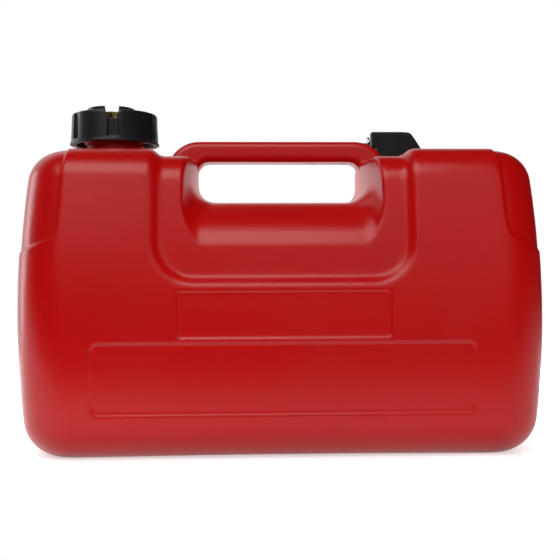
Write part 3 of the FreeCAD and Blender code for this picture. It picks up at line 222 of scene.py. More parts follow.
def scuff_group():
    """Thin handling scratches in three directions and soft rubbed patches, as a mask."""
    group, given, made = new_group("Handling scuffs", [("Amount", 0.3)], ["Mask"])
    where = place(group)
    patches = ramp_node(group, noise_node(group, where, scale=14.0, detail=3.0), low=0.52, high=0.72)
    total = math_node(group, 'MULTIPLY', patches, PATCH_SHARE)
    for turn, closeness in SCRATCHES:
        mapping = group.nodes.new('ShaderNodeMapping')
        mapping.inputs['Rotation'].default_value = (0.4 * turn, turn, 0.2)
        mapping.inputs['Scale'].default_value = (closeness * 40, closeness, closeness * 3)
        group.links.new(where, mapping.inputs['Vector'])
        streaks = noise_node(group, mapping.outputs['Vector'], scale=1.0, detail=1.0)
        line = ramp_node(group, streaks, low=0.72, high=0.78)
        total = math_node(group, 'ADD', total, math_node(group, 'MULTIPLY', line, patches))
    amount = math_node(group, 'MULTIPLY', total, given.outputs['Amount'], True)
    group.links.new(amount, made.inputs['Mask'])
    return group


def wear_group():
    """Worn convex edges, as a mask."""
    group, given, made = new_group("Edge wear", [("Amount", 0.5)], ["Mask"])
    shape = group.nodes.new('ShaderNodeNewGeometry')
    edges = ramp_node(group, shape.outputs['Pointiness'], low=0.53, high=0.62)
    gaps = noise_node(group, place(group), scale=160.0, detail=4.0)
    broken = ramp_node(group, gaps, low=0.40, high=0.62)
    mask = math_node(group, 'MULTIPLY', edges, broken)
    group.links.new(math_node(group, 'MULTIPLY', mask, given.outputs['Amount'], True),
                    made.inputs['Mask'])
    return group


def dust_group():
    """Dust that settles on faces that look up, as a mask."""
    group, given, made = new_group("Settled dust", [("Amount", 0.2)], ["Mask"])
    shape = group.nodes.new('ShaderNodeNewGeometry')
    split = group.nodes.new('ShaderNodeSeparateXYZ')
    group.links.new(shape.outputs['True Normal'], split.inputs[0])
    upward = ramp_node(group, split.outputs['Z'], low=0.45, high=1.0)
    specks = noise_node(group, place(group), scale=420.0, detail=5.0, roughness=0.7)
    mask = math_node(group, 'MULTIPLY', upward, ramp_node(group, specks, low=0.42, high=0.70))
    group.links.new(math_node(group, 'MULTIPLY', mask, given.outputs['Amount'], True),
                    made.inputs['Mask'])
    return group


def turning_group():
    """Fine rings left by a lathe tool about the piece's upright axis, as a height."""
    group, given, made = new_group("Turning marks", [("Scale", 5200.0)], ["Height"])
    where = place(group)
    split = group.nodes.new('ShaderNodeSeparateXYZ')
    group.links.new(where, split.inputs[0])
    rings = math_node(group, 'SINE', math_node(group, 'MULTIPLY', split.outputs['Z'],
                                               given.outputs['Scale']))
    uneven = noise_node(group, where, scale=2600.0)
    group.links.new(math_node(group, 'ADD', rings, uneven), made.inputs['Height'])
    return group


SHARED = {"patches": patches_group, "grain": grain_group, "scuffs": scuff_group, "wear": wear_group,
          "dust": dust_group, "turning": turning_group}
GROUPS = {}


def shared(tree, key, **values):
    """Place a shared group in a material with its own values; returns what it puts out."""
    if key not in GROUPS:
        GROUPS[key] = SHARED[key]()
    node = tree.nodes.new('ShaderNodeGroup')
    node.node_tree = GROUPS[key]
    for name, value in values.items():
        node.inputs[name].default_value = value
    return node.outputs[0]


# ---------------------------------------------------------------- materials

SCUFF_ROUGHNESS = 0.10    # added to the shell's roughness where it is scuffed
PATCH_ROUGHNESS = 0.09    # added to the black plastic's roughness in its dull patches
TARNISH_ROUGHNESS = 0.14  # added to a metal's roughness where it is tarnished
GRAIN_SHARE = 0.10        # height of the shell's grain beside its parting line


def new_material(name):
    """Material with its tree and its Principled shader."""
    material = bpy.data.materials.new(name)
    material.use_nodes = True
    return material, material.node_tree, material.node_tree.nodes['Principled BSDF']


def mix_color(tree, mask, first, second):
    """Colour that goes from the first to the second with the mask."""
    node = tree.nodes.new('ShaderNodeMix')
    node.data_type = 'RGBA'
    tree.links.new(mask, node.inputs['Factor'])
    for socket, value in (('A', first), ('B', second)):
        feed(tree, node.inputs[socket],
             value if isinstance(value, bpy.types.NodeSocket) else (*value, 1.0))
    return node.outputs['Result']


def mix_value(tree, mask, low, high):
    """Value that goes from low to high with the mask."""
    node = tree.nodes.new('ShaderNodeMapRange')
    tree.links.new(mask, node.inputs['Value'])
    node.inputs['To Min'].default_value = low
    node.inputs['To Max'].default_value = high
    return node.outputs['Result']


def add_bump(tree, shader, height, distance):
    """Feed a height into the shader's normal."""
    bump = tree.nodes.new('ShaderNodeBump')
    bump.inputs['Distance'].default_value = distance
    tree.links.new(height, bump.inputs['Height'])
    tree.links.new(bump.outputs['Normal'], shader.inputs['Normal'])


def tinted(value, factor):
    """Colour made lighter or darker."""
    return tuple(min(1.0, channel * factor) for channel in value)


def parting_line(tree):
    """Thin raised line where the two mould halves met, as a height."""
    split = tree.nodes.new('ShaderNodeSeparateXYZ')
    tree.links.new(place(tree), split.inputs[0])
    distance = math_node(tree, 'ABSOLUTE', split.outputs['Y'])
    return math_node(tree, 'SUBTRACT', 1.0, ramp_node(tree, distance, low=0.2 * MM, high=0.9 * MM))


def shell_plastic(colors):
    """Satin polyethylene with a soft sheen, faint flow marks, scuffs and a parting line."""
    material, tree, shader = new_material("shell_plastic")
    flow = shared(tree, "patches", Scale=7.0, Low=0.35, High=0.70)
    scuffs = shared(tree, "scuffs", Amount=0.28)
    dust = shared(tree, "dust", Amount=0.08)
    base = mix_color(tree, flow, colors.shell, tinted(colors.shell, factor=0.90))
    base = mix_color(tree, scuffs, base, colors.shell_scuff)
    base = mix_color(tree, dust, base, colors.shell_dust)
    tree.links.new(base, shader.inputs['Base Color'])
    moulded = mix_value(tree, flow, low=0.285, high=0.325)
    scuffed = math_node(tree, 'MULTIPLY', scuffs, SCUFF_ROUGHNESS)
    tree.links.new(math_node(tree, 'ADD', moulded, scuffed), shader.inputs['Roughness'])
    shader.inputs['IOR'].default_value = 1.45
    grain = math_node(tree, 'MULTIPLY', shared(tree, "grain", Scale=700.0, Waves=2.5), GRAIN_SHARE)
    height = math_node(tree, 'ADD', grain, parting_line(tree))
    add_bump(tree, shader, height, distance=0.25 * MM)
    return material


def black_plastic(name, value, dust_color, roughness, grain_scale, grain_depth, wear_share, dust_share):
    """Moulded near-black plastic with worn edges and a little dust."""
    material, tree, shader = new_material(name)
    wear = shared(tree, "wear", Amount=wear_share)
    dust = shared(tree, "dust", Amount=dust_share)
    base = mix_color(tree, wear, value, tinted(value, factor=3.4))
    base = mix_color(tree, dust, base, dust_color)
    tree.links.new(base, shader.inputs['Base Color'])
    patches = shared(tree, "patches", Scale=90.0, Low=0.35, High=0.70)
    rough = mix_value(tree, patches, low=roughness, high=roughness + PATCH_ROUGHNESS)
    tree.links.new(rough, shader.inputs['Roughness'])
    add_bump(tree, shader, shared(tree, "grain", Scale=grain_scale, Waves=0.4), grain_depth)
    return material


def pale_plastic(colors):
    """Plain moulded plastic of the inner parts, slightly stained by fuel."""
    material, tree, shader = new_material("pale_plastic")
    stain = shared(tree, "patches", Scale=45.0, Detail=4.0, Low=0.45)
    base = mix_color(tree, stain, colors.pale, tinted(colors.pale, factor=0.82))
    tree.links.new(base, shader.inputs['Base Color'])
    shader.inputs['Roughness'].default_value = 0.42
    add_bump(tree, shader, shared(tree, "grain", Scale=1500.0, Waves=0.2), distance=0.02 * MM)
    return material


def soft_rubber(colors):
    """Matt rubber with a dusty bloom."""
    material, tree, shader = new_material("soft_rubber")
    bloom = shared(tree, "patches", Scale=260.0, Detail=4.0)
    base = mix_color(tree, bloom, colors.rubber, tinted(colors.rubber, factor=2.2))
    tree.links.new(base, shader.inputs['Base Color'])
    shader.inputs['Roughness'].default_value = 0.72
    add_bump(tree, shader, shared(tree, "grain", Scale=2200.0), distance=0.03 * MM)
    return material


def float_foam(colors):
    """Closed-cell foam with its small cells."""
    material, tree, shader = new_material("float_foam")
    cells = tree.nodes.new('ShaderNodeTexVoronoi')
    cells.inputs['Scale'].default_value = 1400.0
    tree.links.new(place(tree), cells.inputs['Vector'])
    base = mix_color(tree, cells.outputs['Distance'], tinted(colors.foam, factor=0.7),
                     tinted(colors.foam, factor=1.6))
    tree.links.new(base, shader.inputs['Base Color'])
    shader.inputs['Roughness'].default_value = 0.85
    add_bump(tree, shader, cells.outputs['Distance'], distance=0.10 * MM)
    return material


def metal(name, value, tarnish, roughness, marks):
    """Turned or plated metal, tarnished in patches."""
    material, tree, shader = new_material(name)
    patches = shared(tree, "patches", Scale=230.0, Detail=5.0, Roughness=0.65)
    base = mix_color(tree, patches, value, tinted(value, tarnish))
    tree.links.new(base, shader.inputs['Base Color'])
    rough = mix_value(tree, patches, low=roughness, high=roughness + TARNISH_ROUGHNESS)
    tree.links.new(rough, shader.inputs['Roughness'])
    shader.inputs['Metallic'].default_value = 1.0
    add_bump(tree, shader, shared(tree, "turning", Scale=marks), distance=0.006 * MM)
    return material


def clear_window():
    """Clear plastic with a few fine scratches."""
    material, tree, shader = new_material("clear_window")
    shader.inputs['Base Color'].default_value = (0.95, 0.97, 0.97, 1.0)
    shader.inputs['Transmission Weight'].default_value = 1.0
    shader.inputs['IOR'].default_value = 1.49
    scuffs = shared(tree, "scuffs", Amount=0.5)
    tree.links.new(mix_value(tree, scuffs, low=0.04, high=0.30), shader.inputs['Roughness'])
    return material


def dial_ink(colors):
    """Printed ink that has greyed where it is worn."""
    material, tree, shader = new_material("dial_ink")
    worn = shared(tree, "patches", Scale=900.0, Low=0.55, High=0.80)
    greyed = tuple(0.7 * channel + 0.12 for channel in colors.ink)
    tree.links.new(mix_color(tree, worn, colors.ink, greyed), shader.inputs['Base Color'])
    shader.inputs['Roughness'].default_value = 0.5
    return material


def make_materials(colors):
    """Every finish of the tank, by name."""
    return {
        "shell": shell_plastic(colors),
        "cap": black_plastic("cap_plastic", colors.cap, colors.cap_dust, roughness=0.36, grain_scale=1300.0,
                             grain_depth=0.03 * MM, wear_share=0.55, dust_share=0.22),
        "hood": black_plastic("hood_plastic", colors.hood, colors.cap_dust, roughness=0.40,
                              grain_scale=2100.0, grain_depth=0.05 * MM, wear_share=0.30, dust_share=0.10),
        "pale": pale_plastic(colors),
        "rubber": soft_rubber(colors),
        "foam": float_foam(colors),
        "brass": metal("turned_brass", colors.brass, tarnish=0.62, roughness=0.26, marks=5200.0),
        "nickel": metal("plated_nickel", colors.nickel, tarnish=0.80, roughness=0.20, marks=6800.0),
        "steel": metal("zinc_steel", colors.steel, tarnish=0.72, roughness=0.32, marks=7600.0),
        "window": clear_window(),
        "ink": dial_ink(colors),
    }


MATERIALS = {}


def finish_of(name):
    """Material of that name, made when it is first asked for."""
    if not MATERIALS:
        MATERIALS.update(make_materials(bpy.context.scene.tank_colors))
    return MATERIALS[name]


# ---------------------------------------------------------------- helpers for the pieces

RELAX_STEP = 0.7         # share of the way to its neighbours' middle that a point moves in one pass
SAME_POINT = 0.001 * MM  # points closer than this count as one


def new_piece(name, mesh, body, material):
    """Object that rides on a body and wears a finish."""
    piece = bpy.data.objects.new(name, mesh)
    bpy.context.scene.collection.objects.link(piece)
    piece.data.materials.clear()
    piece.data.materials.append(finish_of(material))
    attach(piece, body)
    return piece


def mesh_from(form, name, smooth_angle=math.radians(35)):
    """Mesh made from a bmesh, smooth except at its sharp edges."""
    bmesh.ops.recalc_face_normals(form, faces=form.faces)
    mesh = bpy.data.meshes.new(name)
    form.to_mesh(mesh)
    form.free()
    mesh.shade_smooth()
    mesh.set_sharp_from_angle(angle=smooth_angle)
    return mesh


def applied(mesh, kind, **settings):
    """Mesh with one modifier applied to it."""
    carrier = bpy.data.objects.new("carrier", mesh)
    bpy.context.scene.collection.objects.link(carrier)
    modifier = carrier.modifiers.new(kind.title(), kind)
    for key, value in settings.items():
        setattr(modifier, key, value)
    graph = bpy.context.evaluated_depsgraph_get()
    result = bpy.data.meshes.new_from_object(carrier.evaluated_get(graph))
    bpy.data.objects.remove(carrier)
    return result


def rounded_skin(node, spacing, passes, faces, relax=None):
    """Copy of a node whose sharp corners are rounded, as a mould leaves them."""
    mesh = applied(frame["nodes"][node].data.copy(), 'REMESH', mode='VOXEL', voxel_size=spacing)
    mesh = applied(mesh, 'SMOOTH', factor=0.5, iterations=passes)
    if relax is not None:
        relax(mesh)
    if 2 * len(mesh.polygons) > faces:
        mesh = applied(mesh, 'DECIMATE', ratio=faces / (2 * len(mesh.polygons)))
    mesh.shade_smooth()
    return mesh


def relax_where(mesh, passes, weight_at):
    """Even out the skin where the weight, a function of the point, is above nought."""
    form = bmesh.new()
    form.from_mesh(mesh)
    weights = {vert: weight_at(vert.co) for vert in form.verts}
    soft = [vert for vert in form.verts if weights[vert] > 0.0]
    for _ in range(passes):
        moves = []
        for vert in soft:
            mean = sum((edge.other_vert(vert).co for edge in vert.link_edges), Vector())
            moves.append((mean / len(vert.link_edges) - vert.co) * weights[vert])
        for vert, move in zip(soft, moves):
            vert.co += RELAX_STEP * move
    form.to_mesh(mesh)
    form.free()


def join_rings(form, rings):
    """Faces between neighbouring rings, with the first and last ring closed."""
    for lower, upper in zip(rings, rings[1:]):
        for i in range(len(lower)):
            j = (i + 1) % len(lower)
            form.faces.new((lower[i], lower[j], upper[j], upper[i]))
    form.faces.new(list(reversed(rings[0])))
    form.faces.new(rings[-1])


def turned(profile, around, centre):
    """Closed form turned about an upright axis; a radius is a number or a function of the step."""
    form = bmesh.new()
    rings = []
    for radius, height in profile:
        ring = []
        for i in range(around):
            angle = 2 * math.pi * i / around
            r = radius(i) if callable(radius) else radius
            ring.append(form.verts.new((r * math.cos(angle), r * math.sin(angle), height)))
        rings.append(ring)
    join_rings(form, rings)
    bmesh.ops.translate(form, verts=form.verts, vec=(centre.x, centre.y, 0))
    return form


def solids_of(node):
    """Lowest and highest corner of each separate solid in a node."""
    form = bmesh.new()
    form.from_mesh(frame["nodes"][node].data)
    bmesh.ops.remove_doubles(form, verts=form.verts, dist=SAME_POINT)
    left = set(form.verts)
    boxes = []
    while left:
        front = [left.pop()]
        solid = list(front)
        while front:
            vert = front.pop()
            near = {edge.other_vert(vert) for edge in vert.link_edges} & left
            left -= near
            front.extend(near)
            solid.extend(near)
        boxes.append((Vector([min(v.co[i] for v in solid) for i in range(3)]),
                      Vector([max(v.co[i] for v in solid) for i in range(3)])))
    form.free()
    return boxes


def joint_entry(name):
    """What the record says of a joint."""
    return next(joint for joint in frame["record"]["behaviour"]["joints"] if joint["name"] == name)


def break_edges(node, width):
    """Small bevel on the sharp edges of a CAD node."""
    piece = frame["nodes"][node]
    piece.modifiers.new("Joined faces", 'WELD').merge_threshold = 2 * SAME_POINT
    flat = piece.modifiers.new("Whole faces", 'DECIMATE')
    flat.decimate_type = 'DISSOLVE'
    flat.angle_limit = math.radians(0.5)
    bevel = piece.modifiers.new("Broken edges", 'BEVEL')
    bevel.width = width
    bevel.segments = 2
    bevel.limit_method = 'ANGLE'
    bevel.angle_limit = math.radians(38)
    piece.modifiers.new("Even shading", 'WEIGHTED_NORMAL')


def dress(nodes, material):
    """Give CAD nodes a finish."""
    for node in nodes:
        mesh = frame["nodes"][node].data
        mesh.materials.clear()
        mesh.materials.append(finish_of(material))


# ---------------------------------------------------------------- tank shell

STEP_PASSES = 22            # times that the step's foot is relaxed
THREAD_STEPS = 72           # steps in one turn of the neck's thread
THREAD_SUNK = 0.6 * MM      # how far the thread's root lies inside the neck
THREAD_CREST = 0.35         # width of the thread's crest beside its root's
THREAD_RUN_OUT = 0.3 * MM   # how far the thread's ends sink into the neck
RUN_OUT_SHARE = 1 / 8       # share of the thread's length over which each end sinks


def beside_step(point, sizes):
    """How far a point lies outside the sunk middle of the shell, seen from the front."""
    x = abs(point.x)
    corner_x = sizes.step_half - sizes.step_corner
    corner_z = sizes.step_bottom + sizes.step_corner
    if point.z > corner_z:
        return x - sizes.step_half
    if x < corner_x:
        return sizes.step_bottom - point.z
    return math.hypot(x - corner_x, point.z - corner_z) - sizes.step_corner


def soften_step(mesh, sizes):
    """Round the foot of the step between the ends and the sunk middle."""
    def nearness(point):
        if abs(point.y) <= sizes.face_start:
            return 0.0
        return 1.0 - abs(beside_step(point, sizes)) / sizes.step_soft

    relax_where(mesh, STEP_PASSES, nearness)


def neck_thread(sizes):
    """Thread ridge that winds up the filler neck and runs out at both ends."""
    low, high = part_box("cap_gasket")
    radius = (high.x - low.x) / 2
    centre = (low + high) / 2
    bottom = low.z - sizes.thread_start
    top = low.z - sizes.thread_end
    turns = (top - bottom) / sizes.thread_pitch
    steps = int(THREAD_STEPS * turns)
    root = radius - THREAD_SUNK
    half_root = sizes.thread_width / 2
    half_crest = THREAD_CREST * half_root
    form = bmesh.new()
    sections = []
    for i in range(steps + 1):
        angle = 2 * math.pi * turns * i / steps
        stands = min(1.0, min(i, steps - i) / steps / RUN_OUT_SHARE)
        crest = radius - THREAD_RUN_OUT + (sizes.thread_height + THREAD_RUN_OUT) * stands
        z = bottom + (top - bottom) * i / steps
        profile = ((root, z - half_root), (crest, z - half_crest), (crest, z + half_crest),
                   (root, z + half_root))
        sections.append([form.verts.new((centre.x + r * math.cos(angle), centre.y + r * math.sin(angle), h))
                         for r, h in profile])
    join_rings(form, sections)
    return mesh_from(form, "neck_thread", smooth_angle=math.radians(60))


class TANK_OT_shell(bpy.types.Operator):
    """Mould the red shell with its softened step, and its neck thread"""
    bl_idname = "fuel_tank.shell"
    bl_label = "Tank shell"

    def execute(self, context):
        sizes = context.scene.tank_sizes
        skin = rounded_skin("tank_shell", sizes.shell_grain, passes=3, faces=sizes.shell_faces,
                            relax=lambda mesh: soften_step(mesh, sizes))
        shell = new_piece("moulded_shell", skin, "tank", "shell")
        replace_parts(shell, "tank_shell")
        new_piece("neck_thread", neck_thread(sizes), "tank", "shell")
        return {'FINISHED'}


# ---------------------------------------------------------------- filler cap and vent screw

KNURL_TOOTH = (0.0, 0.3, 1.0, 0.3)  # share of the knurl's depth at the steps of one tooth
STEM_TIP = 0.5 * MM                 # chamfer at the end of the vent screw's stem
STEM_RIDGES = 9                     # ridges of its thread
RIDGES_START = 0.8 * MM
RIDGE_SPACING = 0.85 * MM
RIDGE_RISE = 0.42 * MM
RIDGE_DEPTH = 0.25 * MM
KNURL_START = 0.7 * MM              # head's seat to the knurl
KNURL_END = 0.8 * MM                # knurl to the head's top
DISH_MIDDLE = (0.4 * MM, 0.65 * MM)
# Turned edges of the vent screw's head: distance inside its radius, and from its seat or its top
HEAD_FOOT = ((0.9 * MM, 0.0), (0.6 * MM, 0.1 * MM))
HEAD_TOP = ((0.7 * MM, 0.1 * MM), (1.1 * MM, 0.0), (2.2 * MM, 0.0), (2.6 * MM, 0.45 * MM))


def vent_screw_mesh(sizes):
    """Vent screw with a straight-knurled head, a dished top and a threaded stem."""
    low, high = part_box("vent_screw")
    head_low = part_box("vent_seal")[1].z
    radius = (high.x - low.x) / 2
    stem = sizes.stem_radius
    around = len(KNURL_TOOTH) * sizes.knurl_teeth

    def knurled(step):
        return radius - sizes.knurl_depth * KNURL_TOOTH[step % len(KNURL_TOOTH)]

    profile = [(stem - STEM_TIP, low.z), (stem, low.z + STEM_TIP)]
    for ridge in range(STEM_RIDGES):
        z = low.z + RIDGES_START + ridge * RIDGE_SPACING
        profile += [(stem - RIDGE_DEPTH, z), (stem, z + RIDGE_RISE)]
    profile += [(stem, head_low)]
    profile += [(radius - inset, head_low + up) for inset, up in HEAD_FOOT]
    profile += [(knurled, head_low + KNURL_START), (knurled, high.z - KNURL_END)]
    profile += [(radius - inset, high.z - down) for inset, down in HEAD_TOP]
    profile += [(DISH_MIDDLE[0], high.z - DISH_MIDDLE[1])]
    form = turned(profile, around, centre=(low + high) / 2)
    return mesh_from(form, "vent_screw", smooth_angle=math.radians(28))


class TANK_OT_cap(bpy.types.Operator):
    """Mould the black cap with its flutes, ribs and slot"""
    bl_idname = "fuel_tank.cap"
    bl_label = "Filler cap"

    def execute(self, context):
        sizes = context.scene.tank_sizes
        skin = rounded_skin("filler_cap", sizes.cap_grain, passes=2, faces=sizes.cap_faces)
        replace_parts(new_piece("grip_cap", skin, "cap", "cap"), "filler_cap")
        return {'FINISHED'}


class TANK_OT_vent_screw(bpy.types.Operator):
    """Turn and knurl the brass vent screw"""
    bl_idname = "fuel_tank.vent_screw"
    bl_label = "Vent screw"

    def execute(self, context):
        mesh = vent_screw_mesh(context.scene.tank_sizes)
        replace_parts(new_piece("knurled_screw", mesh, "vent", "brass"), "vent_screw")
        return {'FINISHED'}


# ---------------------------------------------------------------- gauge and its hood

LITRES = 12                   # the dial's last number
NUMBERED = 3                  # every third division is long and has its number
MARK_TOP = 7.4 * MM           # dial's lower edge to the top of its marks
LONG_MARK = (0.44 * MM, 2.2 * MM)    # width and height
SHORT_MARK = (0.28 * MM, 1.3 * MM)
MARK_RELIEF = 0.12 * MM       # thickness of marks and numbers, half of it outside the dial's face
DIGIT_SHIFT = -0.1 * MM       # number's middle beside its mark
DIGIT_FOOT = 0.7 * MM         # dial's lower edge to the foot of its numbers
TYPE_SIZE = 1.38              # type size that gives a number the height of one
HOOD_PASSES = 60              # times that the hood's top edge is relaxed
HOOD_FLAT = 0.3 * MM          # points this near the top belong to the hood's flat top


def on_dial(point, axis, radius):
    """Point of a flat drawing, x along the scale and y up, bent around the dial."""
    angle = point.x / radius
    reach = radius + point.z
    return Vector((axis.x + reach * math.cos(angle), axis.y + reach * math.sin(angle), axis.z + point.y))


def digit_mesh(text, height, x):
    """Flat mesh of a number, centred at x on the scale."""
    curve = bpy.data.curves.new("digit", 'FONT')
    curve.body = text
    curve.size = height * TYPE_SIZE
    curve.align_x = 'CENTER'
    curve.extrude = MARK_RELIEF / 2
    curve.resolution_u = 4
    carrier = bpy.data.objects.new("digit", curve)
    bpy.context.scene.collection.objects.link(carrier)
    graph = bpy.context.evaluated_depsgraph_get()
    mesh = bpy.data.meshes.new_from_object(carrier.evaluated_get(graph))
    bpy.data.objects.remove(carrier)
    mesh.transform(Matrix.Translation((x, DIGIT_FOOT, 0.0)))
    return mesh


def dial_marks(sizes):
    """Numbers and division marks of the dial, from empty to twelve litres."""
    stem_low, stem_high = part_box("gauge_spindle")
    axis = (stem_low + stem_high) / 2
    axis.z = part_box("gauge_dial")[0].z
    radius = sizes.dial_radius
    scale_length = radius * math.radians(joint_entry("gauge_turn")["range_deg"][1])
    whole = bmesh.new()
    for litre in range(LITRES + 1):
        x = -scale_length * litre / LITRES
        wide, tall = SHORT_MARK if litre % NUMBERED else LONG_MARK
        bmesh.ops.create_cube(whole, size=1.0, matrix=Matrix.Translation((x, MARK_TOP - tall / 2, 0.0))
                              @ Matrix.Diagonal((wide, tall, MARK_RELIEF, 1.0)))
        if litre % NUMBERED == 0:
            digit = digit_mesh(str(litre), sizes.digit_height, x + DIGIT_SHIFT)
            whole.from_mesh(digit)
            bpy.data.meshes.remove(digit)
    for vert in whole.verts:
        vert.co = on_dial(vert.co, axis, radius)
    return mesh_from(whole, "dial_marks")


class TANK_OT_gauge(bpy.types.Operator):
    """Print the dial behind the window"""
    bl_idname = "fuel_tank.gauge"
    bl_label = "Level gauge"

    def execute(self, context):
        dress(["gauge_dial"], "pale")
        dress(["gauge_lens"], "window")
        break_edges("gauge_dial", width=0.25 * MM)
        break_edges("gauge_lens", width=0.2 * MM)
        new_piece("dial_marks", dial_marks(context.scene.tank_sizes), "gauge", "ink")
        return {'FINISHED'}


def soften_hood(mesh, sizes):
    """Round the hood's edge between its flat top and its sloping end."""
    top = max(vert.co.z for vert in mesh.vertices)
    edge = max(vert.co.x for vert in mesh.vertices if vert.co.z > top - HOOD_FLAT)

    def nearness(point):
        return 1.0 - math.hypot(point.x - edge, point.z - top) / sizes.hood_soft

    relax_where(mesh, HOOD_PASSES, nearness)


class TANK_OT_hood(bpy.types.Operator):
    """Mould the black hood over the gauge"""
    bl_idname = "fuel_tank.hood"
    bl_label = "Gauge hood"

    def execute(self, context):
        sizes = context.scene.tank_sizes
        skin = rounded_skin("gauge_hood", sizes.hood_grain, passes=2, faces=sizes.hood_faces,
                            relax=lambda mesh: soften_hood(mesh, sizes))
        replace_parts(new_piece("gauge_cover", skin, "tank", "hood"), "gauge_hood")
        return {'FINISHED'}


# ---------------------------------------------------------------- screws and fittings

SCREW_STEPS = 48            # steps around a screw
SHANK_SHARE = 0.55          # radius of the shank beside the head's
TIP_SHARE = 0.7             # radius of the tip beside the shank's
ROOT_SHARE = 0.86           # radius of the thread's root beside the shank's
TIP_LENGTH = 0.8 * MM
SCREW_PITCH = 0.8 * MM
SCREW_THREAD = (1.0 * MM, 1.2 * MM)  # thread's distance from the tip and from the head
# Domed head: share of its radius, and share of its height above the seat
PAN_HEAD = ((1.0, 0.0), (1.0, 0.35), (0.94, 0.62), (0.78, 0.86), (0.50, 0.98), (0.20, 1.0))
RECESS_TURN = 0.5           # turn of the cross, in radians
RECESS_SPAN = 1.15          # length of the cross beside the head's radius
RECESS_DEPTH = 0.55         # depth of the cross beside the head's height
BROKEN_EDGES = (("outlet_connector", 0.2 * MM), ("pickup_flange", 0.3 * MM), ("gauge_float", 0.4 * MM),
                ("vent_bush", 0.15 * MM))


def screw_form(low, high, head, recess):
    """One pan-head screw between its lowest and highest corner, and the cutter of its cross recess."""
    centre = (low + high) / 2
    head_r = (high.x - low.x) / 2
    shank_r = head_r * SHANK_SHARE
    seat = high.z - head
    profile = [(shank_r * TIP_SHARE, low.z), (shank_r, low.z + TIP_LENGTH)]
    z = low.z + SCREW_THREAD[0]
    while z < seat - SCREW_THREAD[1]:
        profile += [(shank_r * ROOT_SHARE, z), (shank_r, z + SCREW_PITCH / 2)]
        z += SCREW_PITCH
    profile += [(shank_r, seat)]
    profile += [(head_r * out, seat + head * up) for out, up in PAN_HEAD]
    form = turned(profile, SCREW_STEPS, centre)
    cutter = bmesh.new()
    for turn in (RECESS_TURN, RECESS_TURN + math.pi / 2):
        bmesh.ops.create_cube(cutter, size=1.0, matrix=Matrix.Translation((centre.x, centre.y, high.z))
                              @ Matrix.Rotation(turn, 4, 'Z')
                              @ Matrix.Diagonal((head_r * RECESS_SPAN, recess, 2 * head * RECESS_DEPTH, 1.0)))
    return form, cutter


def cross_screws(node, head, recess):
    """All screws of a node in one mesh, with their recesses cut."""
    whole = bmesh.new()
    for low, high in solids_of(node):
        form, cutter = screw_form(low, high, head, recess)
        tool = bpy.data.objects.new("recess", mesh_from(cutter, "recess"))
        bpy.context.scene.collection.objects.link(tool)
        mesh = applied(mesh_from(form, "screw"), 'BOOLEAN', object=tool, operation='DIFFERENCE',
                       solver='EXACT', use_self=True)
        bpy.data.objects.remove(tool)
        whole.from_mesh(mesh)
    return mesh_from(whole, node + "_heads")


class TANK_OT_screws(bpy.types.Operator):
    """Cut cross recesses in the screws of the flange and the hood"""
    bl_idname = "fuel_tank.screws"
    bl_label = "Screws"

    def execute(self, context):
        sizes = context.scene.tank_sizes
        for node, head in (("flange_screws", sizes.flange_head), ("hood_screws", sizes.hood_head)):
            mesh = cross_screws(node, head, sizes.recess_width)
            piece = new_piece("cross_" + node, mesh, "tank", "steel")
            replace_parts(piece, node)
        return {'FINISHED'}


def valve_coil():
    """Valve spring as a piece of its own, with a mesh of its own."""
    mesh = frame["nodes"]["valve_spring"].data.copy()
    coil = new_piece("valve_coil", mesh, "tank", "steel")
    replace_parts(coil, "valve_spring")
    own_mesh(coil)


class TANK_OT_fittings(bpy.types.Operator):
    """Finish the connector, the seals and the inner parts"""
    bl_idname = "fuel_tank.fittings"
    bl_label = "Fittings and inner parts"

    def execute(self, context):
        dress(["outlet_connector"], "nickel")
        dress(["vent_bush", "flange_inserts", "valve_pin", "spring_seat", "gauge_spindle"], "brass")
        dress(["spindle_clip"], "steel")
        valve_coil()
        dress(["cap_gasket", "flange_gasket", "vent_seal", "outlet_seal"], "rubber")
        dress(["cap_liner", "float_guide", "guide_foot", "pickup_tube", "pickup_strainer"], "pale")
        dress(["gauge_float"], "foam")
        dress(["pickup_flange"], "hood")
        for node, width in BROKEN_EDGES:
            break_edges(node, width)
        return {'FINISHED'}


# ---------------------------------------------------------------- stage

MIDDLE = (0.0, 0.0, 0.12)             # point in the middle of the tank
# Name, place, point it faces, width and height, watts, and whether it leaves a highlight
LAMPS = (("front_fill", (0.75, -2.10, 0.95), MIDDLE, (2.0, 1.4), 19.5, False),
         ("floor_bounce", (0.0, -0.20, 0.002), (0.0, -0.20, 0.20), (1.0, 0.16), 0.24, False),
         ("back_panel", (0.0, 0.65, 0.30), (0.0, 0.0, 0.21), (1.3, 0.4), 16.0, False),
         ("key_softbox", (-0.45, -1.15, 1.55), MIDDLE, (1.8, 1.0), 18.5, True),
         ("left_screen", (-0.75, -2.00, 0.95), (-0.1, 0.0, 0.15), (0.9, 0.9), 2.4, True),
         ("rim_strip", (-1.54, 0.68, 0.35), (-0.2, 0.0, 0.12), (0.4, 1.0), 5.0, True))
WORLD_FILL = 0.08                     # strength of the world as a light
WORLD_SHEEN = 0.01                    # strength of the world's front in reflections
BACKDROP_TOWARDS = (-0.42, 0.907, 0.0)
BACKDROP_EDGE = (0.50, 0.77)          # cosines between which the mirrored backdrop turns white
FLOOR_SIZE = 8.0                      # side of the square floor
FLOOR_FRONT = 0.28                    # how far the floor reaches in front of the tank's middle
FLOOR_GLOW = (0.55, 0.93)             # near the tank and far from it
FLOOR_GLOW_REACH = (0.35, 1.20)       # distances from the tank's middle between which it changes
FLOOR_SHEEN_END = (0.10, 0.30)        # x between which the glow leaves the reflections
CAMERA_PLACE = (-0.0343, -0.826, 0.1311)
CAMERA_YAW = math.radians(-2.437)
CAMERA_ROLL = math.radians(-0.274)
